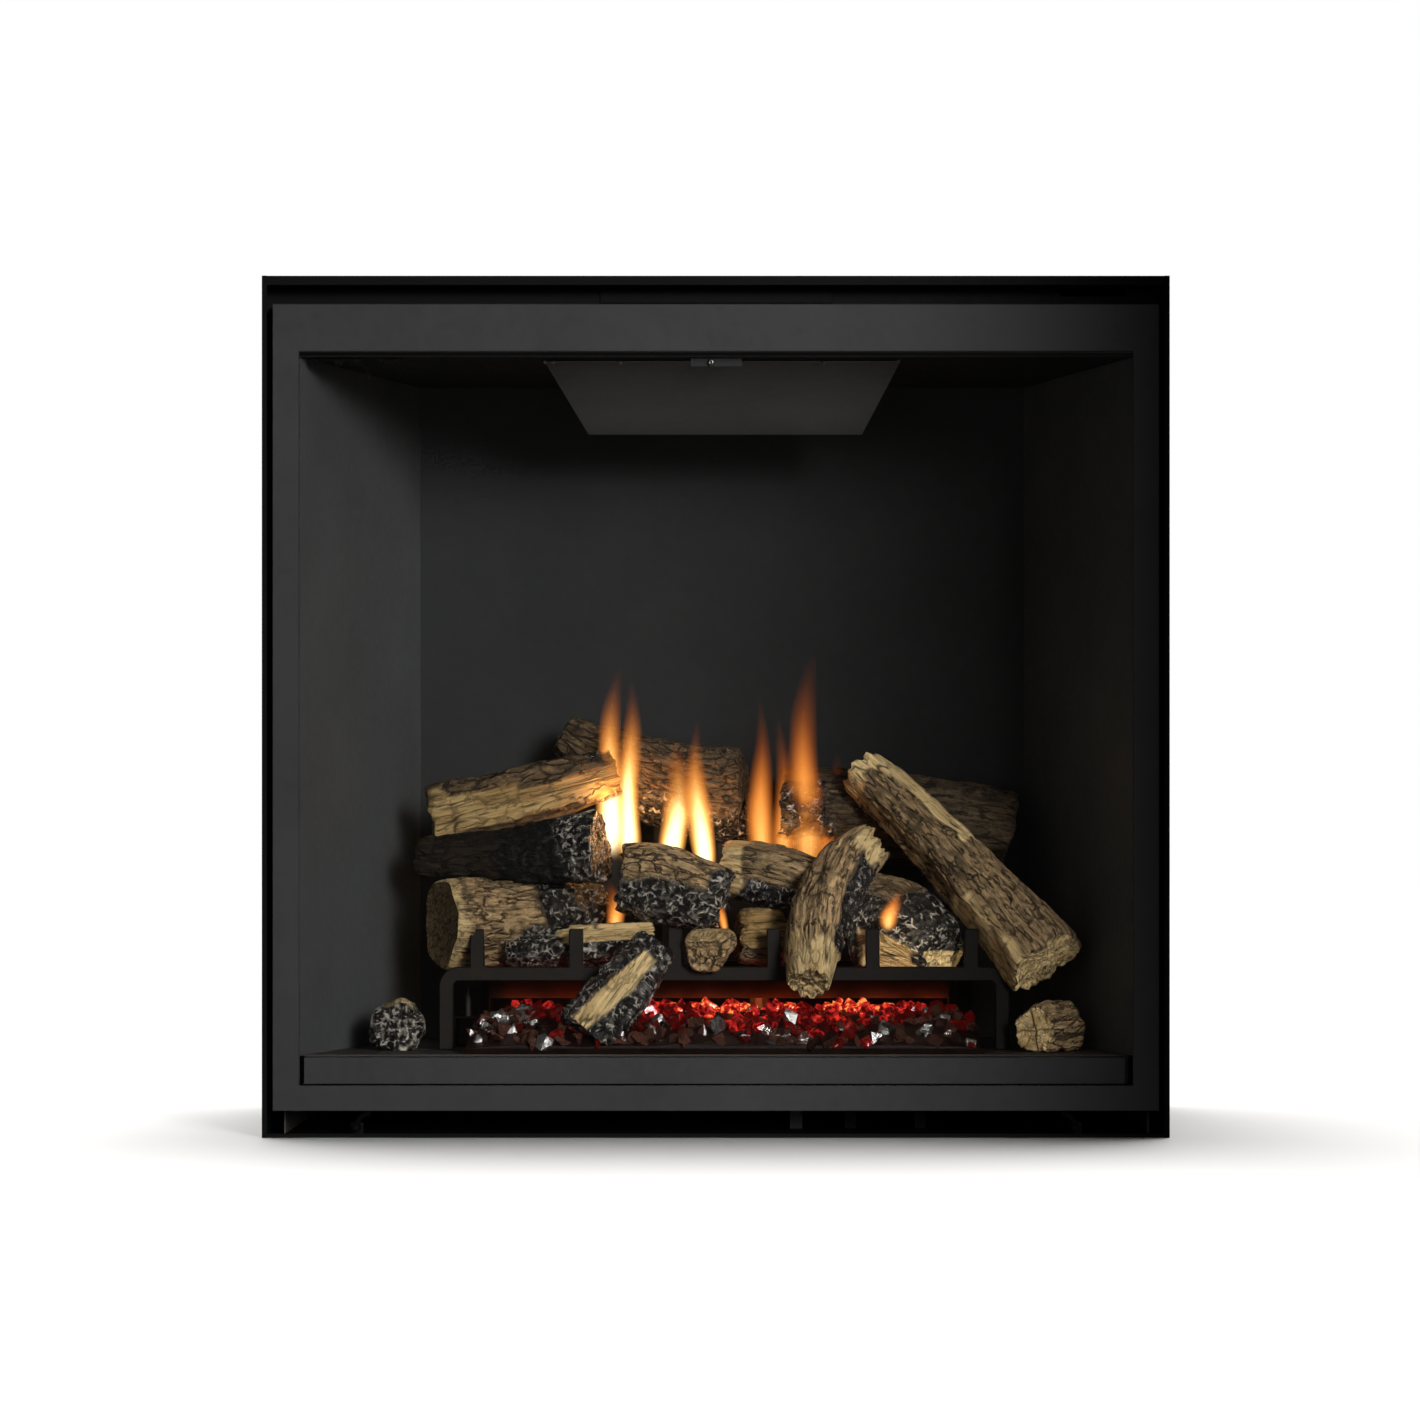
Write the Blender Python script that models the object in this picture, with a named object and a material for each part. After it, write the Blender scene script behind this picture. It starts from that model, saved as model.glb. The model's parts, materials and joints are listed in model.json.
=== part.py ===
"""A built-in gas fireplace: steel casing, splayed firebox, hinged glass front, grate, burner and log set.

Metres, +Z up, +X to the right. The front faces -Y. The origin is the middle of the casing's
underside. A depth is measured back from the casing's front edge.
"""

import math

import bmesh
import bpy
from mathutils import Vector, noise

# Gap between pieces that touch, and the overrun of a cut past the wall that it goes through
CLEARANCE = 0.0003
OVERRUN = 0.004

# Casing
CASING_WIDTH = 0.995
CASING_HEIGHT = 0.945
CASING_DEPTH = 0.560
CASING_SHEET = 0.0015
SIDE_LIP = 0.0055
TOP_LIP = 0.010
BASE_LIP = 0.0045
CASING_FLANGE = 0.020

# Front frame: a folded channel round the window, with a rolled hem at the back of its top edge
FRAME_SIDE_GAP = 0.011
FRAME_TOP_GAP = 0.0304
FRAME_BOTTOM = 0.0291
FRAME_SETBACK = 0.006
FRAME_SHEET = 0.002
FRAME_RETURN = 0.006
FRAME_EDGE = 0.0007
STILE_WIDTH = 0.029
TOP_RAIL = 0.0522
BOTTOM_RAIL = 0.0279
HEM_RADIUS = 0.003
HEM_MARGIN = 0.012
GLASS_THICKNESS = 0.005
GLASS_LAP = 0.011
GLASS_EDGE = 0.0006
SEAL_THICKNESS = 0.0035
SEAL_WIDTH = 0.009

# Header behind the frame's top edge: hinge cradle, slot and access plate
HEADER_SHEET = 0.0015
CRADLE_LIP = 0.0042
HEADER_FLANGE = 0.018
SLOT_END_GAP = 0.0465
SLOT_WIDTH = 0.072
SLOT_HEIGHT = 0.0085
SLOT_DROP = 0.011
ACCESS_WIDTH = 0.256
ACCESS_HOLE_MARGIN = 0.012
ACCESS_DROP = 0.027

# Cam latches under the frame
LATCH_INSET = 0.0915
LATCH_HEIGHT = 0.0105
LATCH_SWEEP = 0.0152
LATCH_BAND = 0.005
LATCH_DEPTH = 0.012
LATCH_THICKNESS = 0.008
LATCH_PIN_RADIUS = 0.0018
LATCH_TAB = 0.003
LATCH_TAB_WIDTH = 0.014

# Firebox
FLOOR_HEIGHT = 0.0887
FLOOR_SHEET = 0.002
CEILING_ROOM = 0.087
FIREBOX_SHEET = 0.0015
MOUTH_REVEAL = 0.001
WALL_SPLAY = 0.1015
BACK_DEPTH = 0.420
SHELL_ROOM = 0.020
SHELL_MARGIN = 0.015
BACK_LAP = 0.012
FLOOR_START = 0.0503
FACE_SHEET = 0.002
FACE_TOP_MARGIN = 0.008
CEILING_FLANGE = 0.028
LIP_DEPTH = 0.030
LIP_END_GAP = 0.004
LIP_LAP = 0.012
LIP_EDGE = 0.0009

# Flue
FLUE_BACK_ROOM = 0.070
FLUE_HOLE_RADIUS = 0.060
FLUE_BOX_WIDTH = 0.220
FLUE_BOX_LENGTH = 0.170
FLUE_BOX_HEIGHT = 0.070
INNER_COLLAR_RADIUS = 0.051
OUTER_COLLAR_RADIUS = 0.084
COLLAR_WALL = 0.001
COLLAR_RISE = 0.025
COLLAR_FLANGE = 0.008
RESTRICTOR_WIDTH = 0.150
RESTRICTOR_LENGTH = 0.125
RESTRICTOR_START = 0.150
RESTRICTOR_TAB = 0.011
GUIDE_SHELF = 0.009
GUIDE_START = 0.120

# Exhaust baffle and the small pieces under the ceiling
BAFFLE_OFFSET = 0.0065
BAFFLE_FRONT_WIDTH = 0.393
BAFFLE_TAPER = 0.0395
BAFFLE_START = 0.052
BAFFLE_LENGTH = 0.200
BAFFLE_DROP = 0.068
BAFFLE_FRONT_FLANGE = 0.003
BAFFLE_SHEET = 0.0015
BRACKET_WIDTH = 0.056
BRACKET_HEIGHT = 0.0095
BRACKET_DEPTH = 0.0305
BRACKET_SHELF = 0.020
CLIP_INSET = 0.0635
CLIP_WIDTH = 0.016
CLIP_LEAN = 0.008
CLIP_HEIGHT = 0.015
CLIP_DEPTH = 0.098
CLIP_LENGTH = 0.022
CLIP_SHEET = 0.002

# Grate. The places of its pins are shares: across from its middle in half widths, back from its
# front in lengths, and up from its top in heights.
GRATE_OFFSET = 0.007
GRATE_END_ROOM = 0.036
GRATE_HEIGHT = 0.0935
GRATE_START = 0.140
GRATE_BACK_ROOM = 0.080
BAR = 0.0158
BAR_EDGE = 0.0012
GRATE_OUTER_BEND = 0.022
FINGER_HEIGHT = 0.043
FINGER_INSET = 0.0427
FINGER_COUNT = 6
PIN = 0.010
PIN_SHARES = (
    (-0.25, 1.04, 2.20),
    (-0.02, 1.04, 1.80),
    (0.48, 1.04, 1.45),
    (0.80, 1.04, 1.35),
    (-0.173, 0.32, 0.67),
    (0.173, 0.48, 0.92),
)

# Burner
BURNER_OFFSET = 0.0
BURNER_END_ROOM = 0.059
BURNER_START = 0.203
BURNER_BACK_ROOM = 0.012
BURNER_HEIGHT = 0.0748
BURNER_SKIRT = 0.019
BURNER_SHEET = 0.0015
PORT_RADIUS = 0.004
PORT_COUNT = 10
PORT_SIDES = 8
TUBE_RADIUS = 0.0125
TUBE_WALL = 0.0015
TUBE_PLACE = 0.045
TUBE_ROOM = 0.0185
TUBE_LEVEL = 0.045
TUBE_BEND = 0.030
TUBE_RUN = 0.060
SHUTTER_WIDTH = 0.022
SHUTTER_WALL = 0.0012
SHUTTER_INSET = 0.008
AIR_HOLE_WIDTH = 0.010
AIR_HOLE_HEIGHT = 0.009
ORIFICE_PIPE_RADIUS = 0.004
ORIFICE_INSET = 0.006

# Pilot, to the left of the burner
PILOT_ROOM = 0.025
PILOT_DEPTH = 0.235
PILOT_WIDTH = 0.030
PILOT_LENGTH = 0.044
PILOT_SHELF = 0.034
PILOT_SHEET = 0.0015
HOOD_RADIUS = 0.006
HOOD_HEIGHT = 0.026
ELECTRODE_RADIUS = 0.0013
INSULATOR_RADIUS = 0.0032
ELECTRODE_HEIGHT = 0.034
SENSOR_RADIUS = 0.0028
SENSOR_HEIGHT = 0.030
PROBE_SPACING = 0.014

# Glass embers, their tray and their light
TRAY_INSET = 0.031
TRAY_START = 0.058
TRAY_LENGTH = 0.140
TRAY_SHEET = 0.0015
TRAY_RIM = 0.006
BED_FRONT_HEIGHT = 0.007
BED_BACK_HEIGHT = 0.043
BED_MARGIN = 0.004
BED_LUMP = 0.004
BED_LUMP_SPACING = 0.028
BED_COLUMNS = 22
BED_ROWS = 6
LIGHT_INSET = 0.022
LIGHT_START = 0.212
LIGHT_LENGTH = 0.022
LIGHT_BASE = 0.008

# Gas valve, knobs, igniter and gas line, under the floor
VALVE_PLACE = 0.188
VALVE_WIDTH = 0.096
VALVE_START = 0.125
VALVE_LENGTH = 0.060
VALVE_BOTTOM = 0.020
VALVE_HEIGHT = 0.052
VALVE_EDGE = 0.003
VALVE_FOOT = 0.012
KNOB_SPACING = 0.047
KNOB_LEVEL = 0.046
KNOB_RADIUS = 0.0155
KNOB_FLUTE = 0.0011
KNOB_FLUTES = 12
KNOB_THICKNESS = 0.022
KNOB_SKIRT = 0.004
KNOB_EDGE = 0.002
SHAFT_RADIUS = 0.004
SHAFT_LENGTH = 0.024
BOSS_RADIUS = 0.010
BOSS_LENGTH = 0.006
IGNITER_PLACE = 0.088
IGNITER_START = 0.112
IGNITER_LENGTH = 0.034
IGNITER_RADIUS = 0.009
IGNITER_NUT = 0.013
IGNITER_NUT_LENGTH = 0.004
IGNITER_FOOT = 0.014
BUTTON_RADIUS = 0.0058
BUTTON_CAP_RADIUS = 0.008
BUTTON_CAP = 0.004
BUTTON_TRAVEL = 0.005
BUTTON_STEM = 0.012
GAS_LINE_RADIUS = 0.0075
GAS_NUT_RADIUS = 0.013
GAS_LINE_ROOM = 0.004

# Logs. Their places are shares of the grate: across from its middle in half widths, back from its
# front in lengths, and up from the floor in heights. Girths are shares of LOG_RADIUS. A split face
# is an angle round the log in degrees, 0 to the front and 90 up, and a share of the girth.
LOG_RADIUS = 0.050
LOG_GAP = 0.0006
LOG_RINGS = 9
LOG_SIDES = 14
LOG_LOBE_SHARE = 0.05
LOG_ROUGH_SHARE = 0.06
LOG_BREAK_SHARE = 0.16
LOG_RIM_SHARE = 0.93
LOG_SHARES = (
    ("log_lower_left", ((-1.00, 0.22, 1.52), (-0.73, 0.42, 1.56), (-0.44, 0.62, 1.70)),
     (1.07, 0.90, 0.58), ()),
    ("log_front_left", ((-0.77, 0.22, 1.22), (-0.53, 0.22, 1.25), (-0.25, 0.23, 1.32)),
     (0.43, 0.48, 0.43), ((60, 0.58),)),
    ("log_mid_left", ((-1.09, 0.55, 2.30), (-0.78, 0.42, 2.31), (-0.44, 0.28, 2.41)),
     (0.44, 0.60, 0.84), ()),
    ("log_long_split", ((-1.06, 0.66, 2.79), (-0.74, 0.70, 3.04), (-0.40, 0.78, 3.35)),
     (0.66, 0.65, 0.53), ((5, 0.62),)),
    ("log_rear_left", ((-0.60, 1.04, 3.85), (-0.23, 1.04, 3.24), (0.07, 1.02, 3.10)),
     (0.46, 1.00, 1.06), ()),
    ("log_centre", ((-0.37, 0.32, 2.10), (-0.20, 0.31, 2.01), (0.01, 0.27, 1.82)),
     (0.84, 0.96, 0.74), ((105, 0.72),)),
    ("log_small_front", ((-0.04, 0.24, 1.30), (-0.05, 0.06, 1.24), (-0.07, -0.10, 1.18)),
     (0.48, 0.50, 0.45), ((90, 0.62),)),
    ("log_charred_leaning", ((-0.23, -0.08, 1.30), (-0.35, -0.16, 0.74), (-0.48, -0.27, 0.18)),
     (0.45, 0.64, 0.70), ((15, 0.76),)),
    ("log_lower_right", ((0.48, 0.44, 1.48), (0.62, 0.32, 1.41), (0.77, 0.09, 1.16)),
     (1.05, 1.04, 0.68), ((-35, 0.78),)),
    ("log_small_tan", ((0.05, 0.25, 1.33), (0.12, 0.28, 1.33), (0.20, 0.33, 1.33)),
     (0.60, 0.62, 0.58), ((30, 0.70),)),
    ("log_bark_leaning", ((0.52, 0.37, 2.49), (0.36, 0.11, 1.80), (0.30, -0.25, 0.82)),
     (0.53, 0.70, 0.52), ()),
    ("log_centre_right", ((-0.01, 0.42, 2.20), (0.15, 0.41, 2.10), (0.33, 0.39, 1.94)),
     (0.62, 0.70, 0.60), ()),
    ("log_right_leaning", ((0.49, 0.70, 3.37), (0.82, 0.32, 2.25), (1.12, -0.08, 1.05)),
     (0.62, 0.73, 0.94), ((95, 0.80),)),
    ("log_rear_right", ((0.20, 0.98, 2.88), (0.63, 0.98, 2.79), (1.03, 0.98, 2.60)),
     (1.02, 1.05, 0.96), ()),
    ("log_left_chunk", ((-1.14, -0.12, 0.29), (-1.15, 0.05, 0.29), (-1.15, 0.22, 0.29)),
     (0.56, 0.61, 0.54), ()),
    ("log_right_chunk", ((1.08, -0.25, 0.26), (1.14, -0.12, 0.28), (1.20, 0.00, 0.30)),
     (0.53, 0.57, 0.54), ()),
)
CHARRED = ("log_front_left", "log_mid_left", "log_charred_leaning", "log_lower_right", "log_left_chunk")

# Fineness of round pieces
COLLAR_SIDES = 40
ROUND_SIDES = 20
SMALL_SIDES = 12
BEND_STEPS = 6
SMOOTH_ANGLE = math.radians(35)

# Places that follow from the sizes above
FRAME_WIDTH = CASING_WIDTH - 2 * FRAME_SIDE_GAP
FRAME_TOP = CASING_HEIGHT - FRAME_TOP_GAP
WINDOW_WIDTH = FRAME_WIDTH - 2 * STILE_WIDTH
WINDOW_BOTTOM = FRAME_BOTTOM + BOTTOM_RAIL
WINDOW_TOP = FRAME_TOP - TOP_RAIL
MOUTH_WIDTH = WINDOW_WIDTH + 2 * MOUTH_REVEAL
BACK_WIDTH = MOUTH_WIDTH - 2 * WALL_SPLAY
SHELL_WIDTH = MOUTH_WIDTH + 2 * SHELL_ROOM
LIP_WIDTH = MOUTH_WIDTH - 2 * LIP_END_GAP
SLOT_LEFT = CASING_WIDTH / 2 - SLOT_END_GAP - SLOT_WIDTH
LATCH_SPREAD = FRAME_WIDTH / 2 - LATCH_INSET
CLIP_PLACE = CLIP_INSET - MOUTH_WIDTH / 2
FLUE_DEPTH = BACK_DEPTH - FLUE_BACK_ROOM
BAFFLE_BACK_WIDTH = BAFFLE_FRONT_WIDTH - 2 * BAFFLE_TAPER
GRATE_WIDTH = BACK_WIDTH - 2 * GRATE_END_ROOM
GRATE_BACK = BACK_DEPTH - GRATE_BACK_ROOM
GRATE_LENGTH = GRATE_BACK - GRATE_START
FINGER_SPREAD = GRATE_WIDTH - 2 * FINGER_INSET
BURNER_WIDTH = GRATE_WIDTH - 2 * BURNER_END_ROOM
BURNER_LENGTH = GRATE_BACK - BURNER_BACK_ROOM - BURNER_START
PILOT_PLACE = -BURNER_WIDTH / 2 - PILOT_ROOM
TRAY_WIDTH = GRATE_WIDTH - 2 * TRAY_INSET
LIGHT_WIDTH = BURNER_WIDTH - 2 * LIGHT_INSET
TUBE_DEPTH = LIGHT_START + LIGHT_LENGTH + TUBE_RADIUS + TUBE_ROOM
FRAME_BACK = FRAME_SETBACK + FRAME_RETURN
GLASS_FRONT = FRAME_BACK + CLEARANCE
GLASS_BACK = GLASS_FRONT + GLASS_THICKNESS
SEAL_FRONT = GLASS_BACK + CLEARANCE
SEAL_BACK = SEAL_FRONT + SEAL_THICKNESS
FACE_FRONT = SEAL_BACK + CLEARANCE
FACE_BACK = FACE_FRONT + FACE_SHEET
SHELL_FRONT = FACE_BACK + CLEARANCE
CRADLE_INNER = SHELL_FRONT + HEADER_SHEET
HEM_DEPTH = CRADLE_INNER + CLEARANCE + HEM_RADIUS
HEM_HEIGHT = FRAME_TOP - HEM_RADIUS
CRADLE_BOTTOM = HEM_HEIGHT - HEM_RADIUS - CLEARANCE - HEADER_SHEET
HEADER_FACE = HEM_DEPTH + HEM_RADIUS + CLEARANCE
PANEL_FRONT = CASING_SHEET + CLEARANCE
SIDE_BACK = CASING_DEPTH - CASING_SHEET - CLEARANCE
PANEL_BACK = SIDE_BACK - CASING_SHEET - CLEARANCE
INNER_HALF = CASING_WIDTH / 2 - CASING_SHEET - CLEARANCE
ROOM_TOP = CASING_HEIGHT - CASING_SHEET - CLEARANCE
CEILING = CASING_HEIGHT - CEILING_ROOM
CEILING_TOP = CEILING + FIREBOX_SHEET
UNDER_CEILING = CEILING - CLEARANCE
ON_FLOOR = FLOOR_HEIGHT + CLEARANCE
ON_BASE = CASING_SHEET + CLEARANCE
SHELL_BACK = BACK_DEPTH + SHELL_MARGIN
FLUE_BOX_TOP = CEILING_TOP + CLEARANCE + FLUE_BOX_HEIGHT
COLLAR_TOP = CASING_HEIGHT + COLLAR_RISE
GRATE_TOP = FLOOR_HEIGHT + GRATE_HEIGHT
BURNER_TOP = FLOOR_HEIGHT + BURNER_HEIGHT
TRAY_TOP = ON_FLOOR + TRAY_SHEET
KNOB_FRONT = VALVE_START - BOSS_LENGTH - CLEARANCE - KNOB_THICKNESS
TUBE_INLET = TUBE_PLACE + TUBE_BEND + TUBE_RUN
GAS_LINE_START = VALVE_PLACE + VALVE_WIDTH / 2 + CLEARANCE
GAS_LINE_DEPTH = VALVE_START + VALVE_LENGTH / 2


def clear_scene():
    for obj in list(bpy.data.objects):
        bpy.data.objects.remove(obj, do_unlink=True)


def deep(depth):
    """The Y of a place this far behind the casing's front edge."""
    return depth - CASING_DEPTH / 2


# Materials


def plane_across(along):
    """The two axes of the plane across an axis, and that axis itself, as indices."""
    run = "xyz".index(along)
    first, second = (i for i in range(3) if i != run)
    return first, second, run


def finish(name, colour, roughness, metallic=0.0):
    found = bpy.data.materials.get(name)
    if found:
        return found
    made = bpy.data.materials.new(name)
    made.use_nodes = True
    shader = made.node_tree.nodes["Principled BSDF"]
    shader.inputs["Base Color"].default_value = (*colour, 1.0)
    shader.inputs["Roughness"].default_value = roughness
    shader.inputs["Metallic"].default_value = metallic
    made.diffuse_color = (*colour, 1.0)
    return made


def black_casing():
    return finish("black_casing_paint", (0.006, 0.006, 0.006), 0.5)


def charcoal_frame():
    return finish("charcoal_frame_paint", (0.042, 0.042, 0.042), 0.45)


def firebox_paint():
    return finish("black_firebox_paint", (0.030, 0.030, 0.030), 0.7)


def grate_steel():
    return finish("dark_grate_steel", (0.040, 0.037, 0.033), 0.6, 0.3)


def bare_steel():
    return finish("bare_steel", (0.45, 0.45, 0.44), 0.35, 1.0)


def galvanised_steel():
    return finish("galvanised_steel", (0.50, 0.51, 0.52), 0.40, 1.0)


def brass():
    return finish("brass", (0.60, 0.42, 0.18), 0.30, 1.0)


def ceramic_glass():
    return finish("ceramic_glass", (0.90, 0.90, 0.88), 0.05)


def seal_rope():
    return finish("glass_fibre_seal", (0.05, 0.05, 0.05), 0.95)


def black_plastic():
    return finish("black_plastic", (0.012, 0.012, 0.012), 0.40)


def red_plastic():
    return finish("red_plastic", (0.45, 0.02, 0.02), 0.35)


def white_ceramic():
    return finish("white_ceramic", (0.75, 0.72, 0.66), 0.30)


def ember_glass():
    return finish("ember_glass", (0.35, 0.02, 0.01), 0.10)


def light_lens():
    return finish("ember_light_lens", (0.80, 0.10, 0.03), 0.20)


def bark():
    return finish("ceramic_bark", (0.13, 0.095, 0.060), 0.90)


def char():
    return finish("charred_ceramic", (0.012, 0.012, 0.012), 0.75)


# Shapes


def arc(centre, radius, start, end, steps):
    """Points on an arc in a plane, with the angles in degrees."""
    points = []
    for step in range(steps + 1):
        angle = math.radians(start + (end - start) * step / steps)
        points.append((centre[0] + radius * math.cos(angle), centre[1] + radius * math.sin(angle)))
    return points


def sheet(path, thickness):
    """The outline of a sheet folded along a path, with its thickness to the left of the path."""
    points = [Vector(point) for point in path]
    ahead = [(b - a).normalized() for a, b in zip(points, points[1:])]
    side = [Vector((-step.y, step.x)) for step in ahead]
    other = [points[0] + side[0] * thickness]
    for here, before, after in zip(points[1:-1], side, side[1:]):
        bend = (before + after).normalized()
        other.append(here + bend * (thickness / bend.dot(after)))
    other.append(points[-1] + side[-1] * thickness)
    return points + other[::-1]


def prism(outline, low, high, along):
    """A closed solid of one outline, from low to high along an axis.

    The outline is in (X, Y) along z, (X, Z) along y and (Y, Z) along x.
    """
    bm = bmesh.new()
    first, second, run = plane_across(along)
    ends = []
    for at in (low, high):
        ring = []
        for point in outline:
            place = [0.0, 0.0, 0.0]
            place[first], place[second], place[run] = point[0], point[1], at
            ring.append(bm.verts.new(place))
        ends.append(ring)
        bm.faces.new(ring)
    near, far = ends
    for i in range(len(near)):
        bm.faces.new((near[i - 1], near[i], far[i], far[i - 1]))
    return bm


def block(left, right, front, back, bottom, top):
    """A box between two X, two depths and two heights."""
    outline = ((left, bottom), (right, bottom), (right, top), (left, top))
    return prism(outline, deep(front), deep(back), "y")


def turned(profile, centre, along, sides, ring=False):
    """A turned solid. The profile gives (radius, place along the axis), ends on the axis unless it is
    a ring, and is measured from the centre."""
    bm = bmesh.new()
    first, second, run = plane_across(along)

    def point(radius, at, angle):
        place = list(centre)
        place[first] += radius * math.cos(angle)
        place[second] += radius * math.sin(angle)
        place[run] += at
        return bm.verts.new(place)

    rows = []
    for radius, at in profile:
        if radius == 0:
            rows.append([point(0, at, 0)] * sides)
        else:
            rows.append([point(radius, at, math.tau * i / sides) for i in range(sides)])
    pairs = list(zip(rows, rows[1:]))
    if ring:
        pairs.append((rows[-1], rows[0]))
    for lower, upper in pairs:
        for i in range(sides):
            corners = (lower[i - 1], lower[i], upper[i], upper[i - 1])
            bm.faces.new(list(dict.fromkeys(corners)))
    return bm


def rod(radius, centre, along, low, high, sides):
    return turned(((0, low), (radius, low), (radius, high), (0, high)), centre, along, sides)


def picture_frame(outer, inner, section):
    """A mitred frame. outer and inner are (left, right, bottom, top). The section's points are
    (edge, offset, depth): the offset runs in from the outer edge, or out from the inner one."""
    bm = bmesh.new()
    rings = []
    for edge, offset, depth in section:
        left, right, bottom, top = outer if edge == "outer" else inner
        inset = offset if edge == "outer" else -offset
        corners = (
            (left + inset, bottom + inset),
            (right - inset, bottom + inset),
            (right - inset, top - inset),
            (left + inset, top - inset),
        )
        rings.append([bm.verts.new((x, deep(depth), z)) for x, z in corners])
    for ring, after in zip(rings, rings[1:] + rings[:1]):
        for i in range(len(ring)):
            bm.faces.new((ring[i - 1], ring[i], after[i], after[i - 1]))
    return bm


def flat_section(front, back):
    return (("outer", 0, front), ("inner", 0, front), ("inner", 0, back), ("outer", 0, back))


def add(name, bm, surface, origin=None):
    """Makes the named piece from a bmesh in world places, with its origin at a point if one is given."""
    bmesh.ops.recalc_face_normals(bm, faces=bm.faces)
    if origin:
        bmesh.ops.translate(bm, verts=bm.verts, vec=-Vector(origin))
    mesh = bpy.data.meshes.new(name)
    bm.to_mesh(mesh)
    bm.free()
    obj = bpy.data.objects.new(name, mesh)
    if origin:
        obj.location = origin
    bpy.context.scene.collection.objects.link(obj)
    mesh.materials.append(surface)
    mesh.shade_smooth()
    mesh.set_sharp_from_angle(angle=SMOOTH_ANGLE)
    return obj


def helper(name, bm):
    """A cutter or a shape to be joined, which isn't a piece by itself."""
    made = add(name, bm, black_casing())
    made.hide_render = True
    made.display_type = "WIRE"
    return made


def combine(obj, other, operation):
    step = obj.modifiers.new(other.name, "BOOLEAN")
    step.operation = operation
    step.solver = "EXACT"
    step.object = other


def cut(obj, bm):
    combine(obj, helper(obj.name + "_cut", bm), "DIFFERENCE")


def join(obj, bm):
    combine(obj, helper(obj.name + "_part", bm), "UNION")


def bevel(obj, width, segments=1):
    step = obj.modifiers.new("edges", "BEVEL")
    step.width = width
    step.segments = segments
    step.limit_method = "ANGLE"


def swollen(obj, amount):
    """The piece's mesh with each point pushed out, to cut a neighbour clear of it."""
    bm = bmesh.new()
    bm.from_mesh(obj.data)
    bm.normal_update()
    pushed = [vert.co + vert.normal * amount for vert in bm.verts]
    for vert, place in zip(bm.verts, pushed):
        vert.co = place
    return bm


# Casing


def casing_base():
    path = (
        (deep(PANEL_FRONT), BASE_LIP),
        (deep(PANEL_FRONT), 0),
        (deep(PANEL_BACK), 0),
        (deep(PANEL_BACK), CASING_FLANGE),
    )
    base = add("casing_base", prism(sheet(path, CASING_SHEET), -INNER_HALF, INNER_HALF, "x"), black_casing())
    tab_front = LATCH_DEPTH + LATCH_THICKNESS + CLEARANCE
    for side in (-1, 1):
        place = side * LATCH_SPREAD
        half = LATCH_TAB_WIDTH / 2
        tab_top = LATCH_HEIGHT + LATCH_BAND
        join(base, block(place - half, place + half, tab_front, tab_front + LATCH_TAB, CASING_SHEET / 2, tab_top))
        pin_end = tab_front + LATCH_TAB / 2
        centre = (place, 0, LATCH_HEIGHT)
        join(base, rod(LATCH_PIN_RADIUS, centre, "y", deep(LATCH_DEPTH), deep(pin_end), SMALL_SIDES))


def casing_sides():
    half = CASING_WIDTH / 2
    front, back = deep(0), deep(SIDE_BACK)
    left = (
        (-half + CASING_FLANGE, back),
        (-half, back),
        (-half, front),
        (-half + SIDE_LIP, front),
    )
    add("casing_left", prism(sheet(left, CASING_SHEET), 0, CASING_HEIGHT, "z"), black_casing())
    right = (
        (half - SIDE_LIP, front),
        (half, front),
        (half, back),
        (half - CASING_FLANGE, back),
    )
    panel = add("casing_right", prism(sheet(right, CASING_SHEET), 0, CASING_HEIGHT, "z"), black_casing())
    centre = (half, deep(GAS_LINE_DEPTH), KNOB_LEVEL)
    hole = GAS_NUT_RADIUS + GAS_LINE_ROOM
    cut(panel, rod(hole, centre, "x", -OVERRUN, OVERRUN, ROUND_SIDES))


def casing_back():
    half = CASING_WIDTH / 2
    shape = block(-half, half, CASING_DEPTH - CASING_SHEET, CASING_DEPTH, 0, CASING_HEIGHT)
    add("casing_back", shape, black_casing())


def casing_top():
    path = (
        (deep(PANEL_BACK), CASING_HEIGHT - CASING_FLANGE),
        (deep(PANEL_BACK), CASING_HEIGHT),
        (deep(PANEL_FRONT), CASING_HEIGHT),
        (deep(PANEL_FRONT), CASING_HEIGHT - TOP_LIP),
    )
    top = add("casing_top", prism(sheet(path, CASING_SHEET), -INNER_HALF, INNER_HALF, "x"), black_casing())
    centre = (0, deep(FLUE_DEPTH), CASING_HEIGHT)
    hole = OUTER_COLLAR_RADIUS + 2 * CLEARANCE
    cut(top, rod(hole, centre, "z", -OVERRUN, OVERRUN, COLLAR_SIDES))


def header_panel():
    face_back = HEADER_FACE + HEADER_SHEET
    flange = ROOM_TOP - HEADER_SHEET
    path = (
        (deep(SHELL_FRONT), CRADLE_BOTTOM + CRADLE_LIP),
        (deep(SHELL_FRONT), CRADLE_BOTTOM),
        (deep(face_back), CRADLE_BOTTOM),
        (deep(face_back), flange),
        (deep(face_back + HEADER_FLANGE), flange),
    )
    panel = add("header_panel", prism(sheet(path, HEADER_SHEET), -INNER_HALF, INNER_HALF, "x"), black_casing())
    front, back = HEADER_FACE - OVERRUN, face_back + OVERRUN
    slot_top = CASING_HEIGHT - SLOT_DROP
    cut(panel, block(SLOT_LEFT, SLOT_LEFT + SLOT_WIDTH, front, back, slot_top - SLOT_HEIGHT, slot_top))


def header_plate():
    top = CASING_HEIGHT - TOP_LIP
    half = ACCESS_WIDTH / 2
    back = HEADER_FACE - CLEARANCE
    bottom = CASING_HEIGHT - ACCESS_DROP
    plate = add(
        "header_plate",
        block(-half, half, back - HEADER_SHEET, back, bottom, top),
        black_casing(),
    )
    bevel(plate, HEADER_SHEET / 4)


# Firebox


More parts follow.
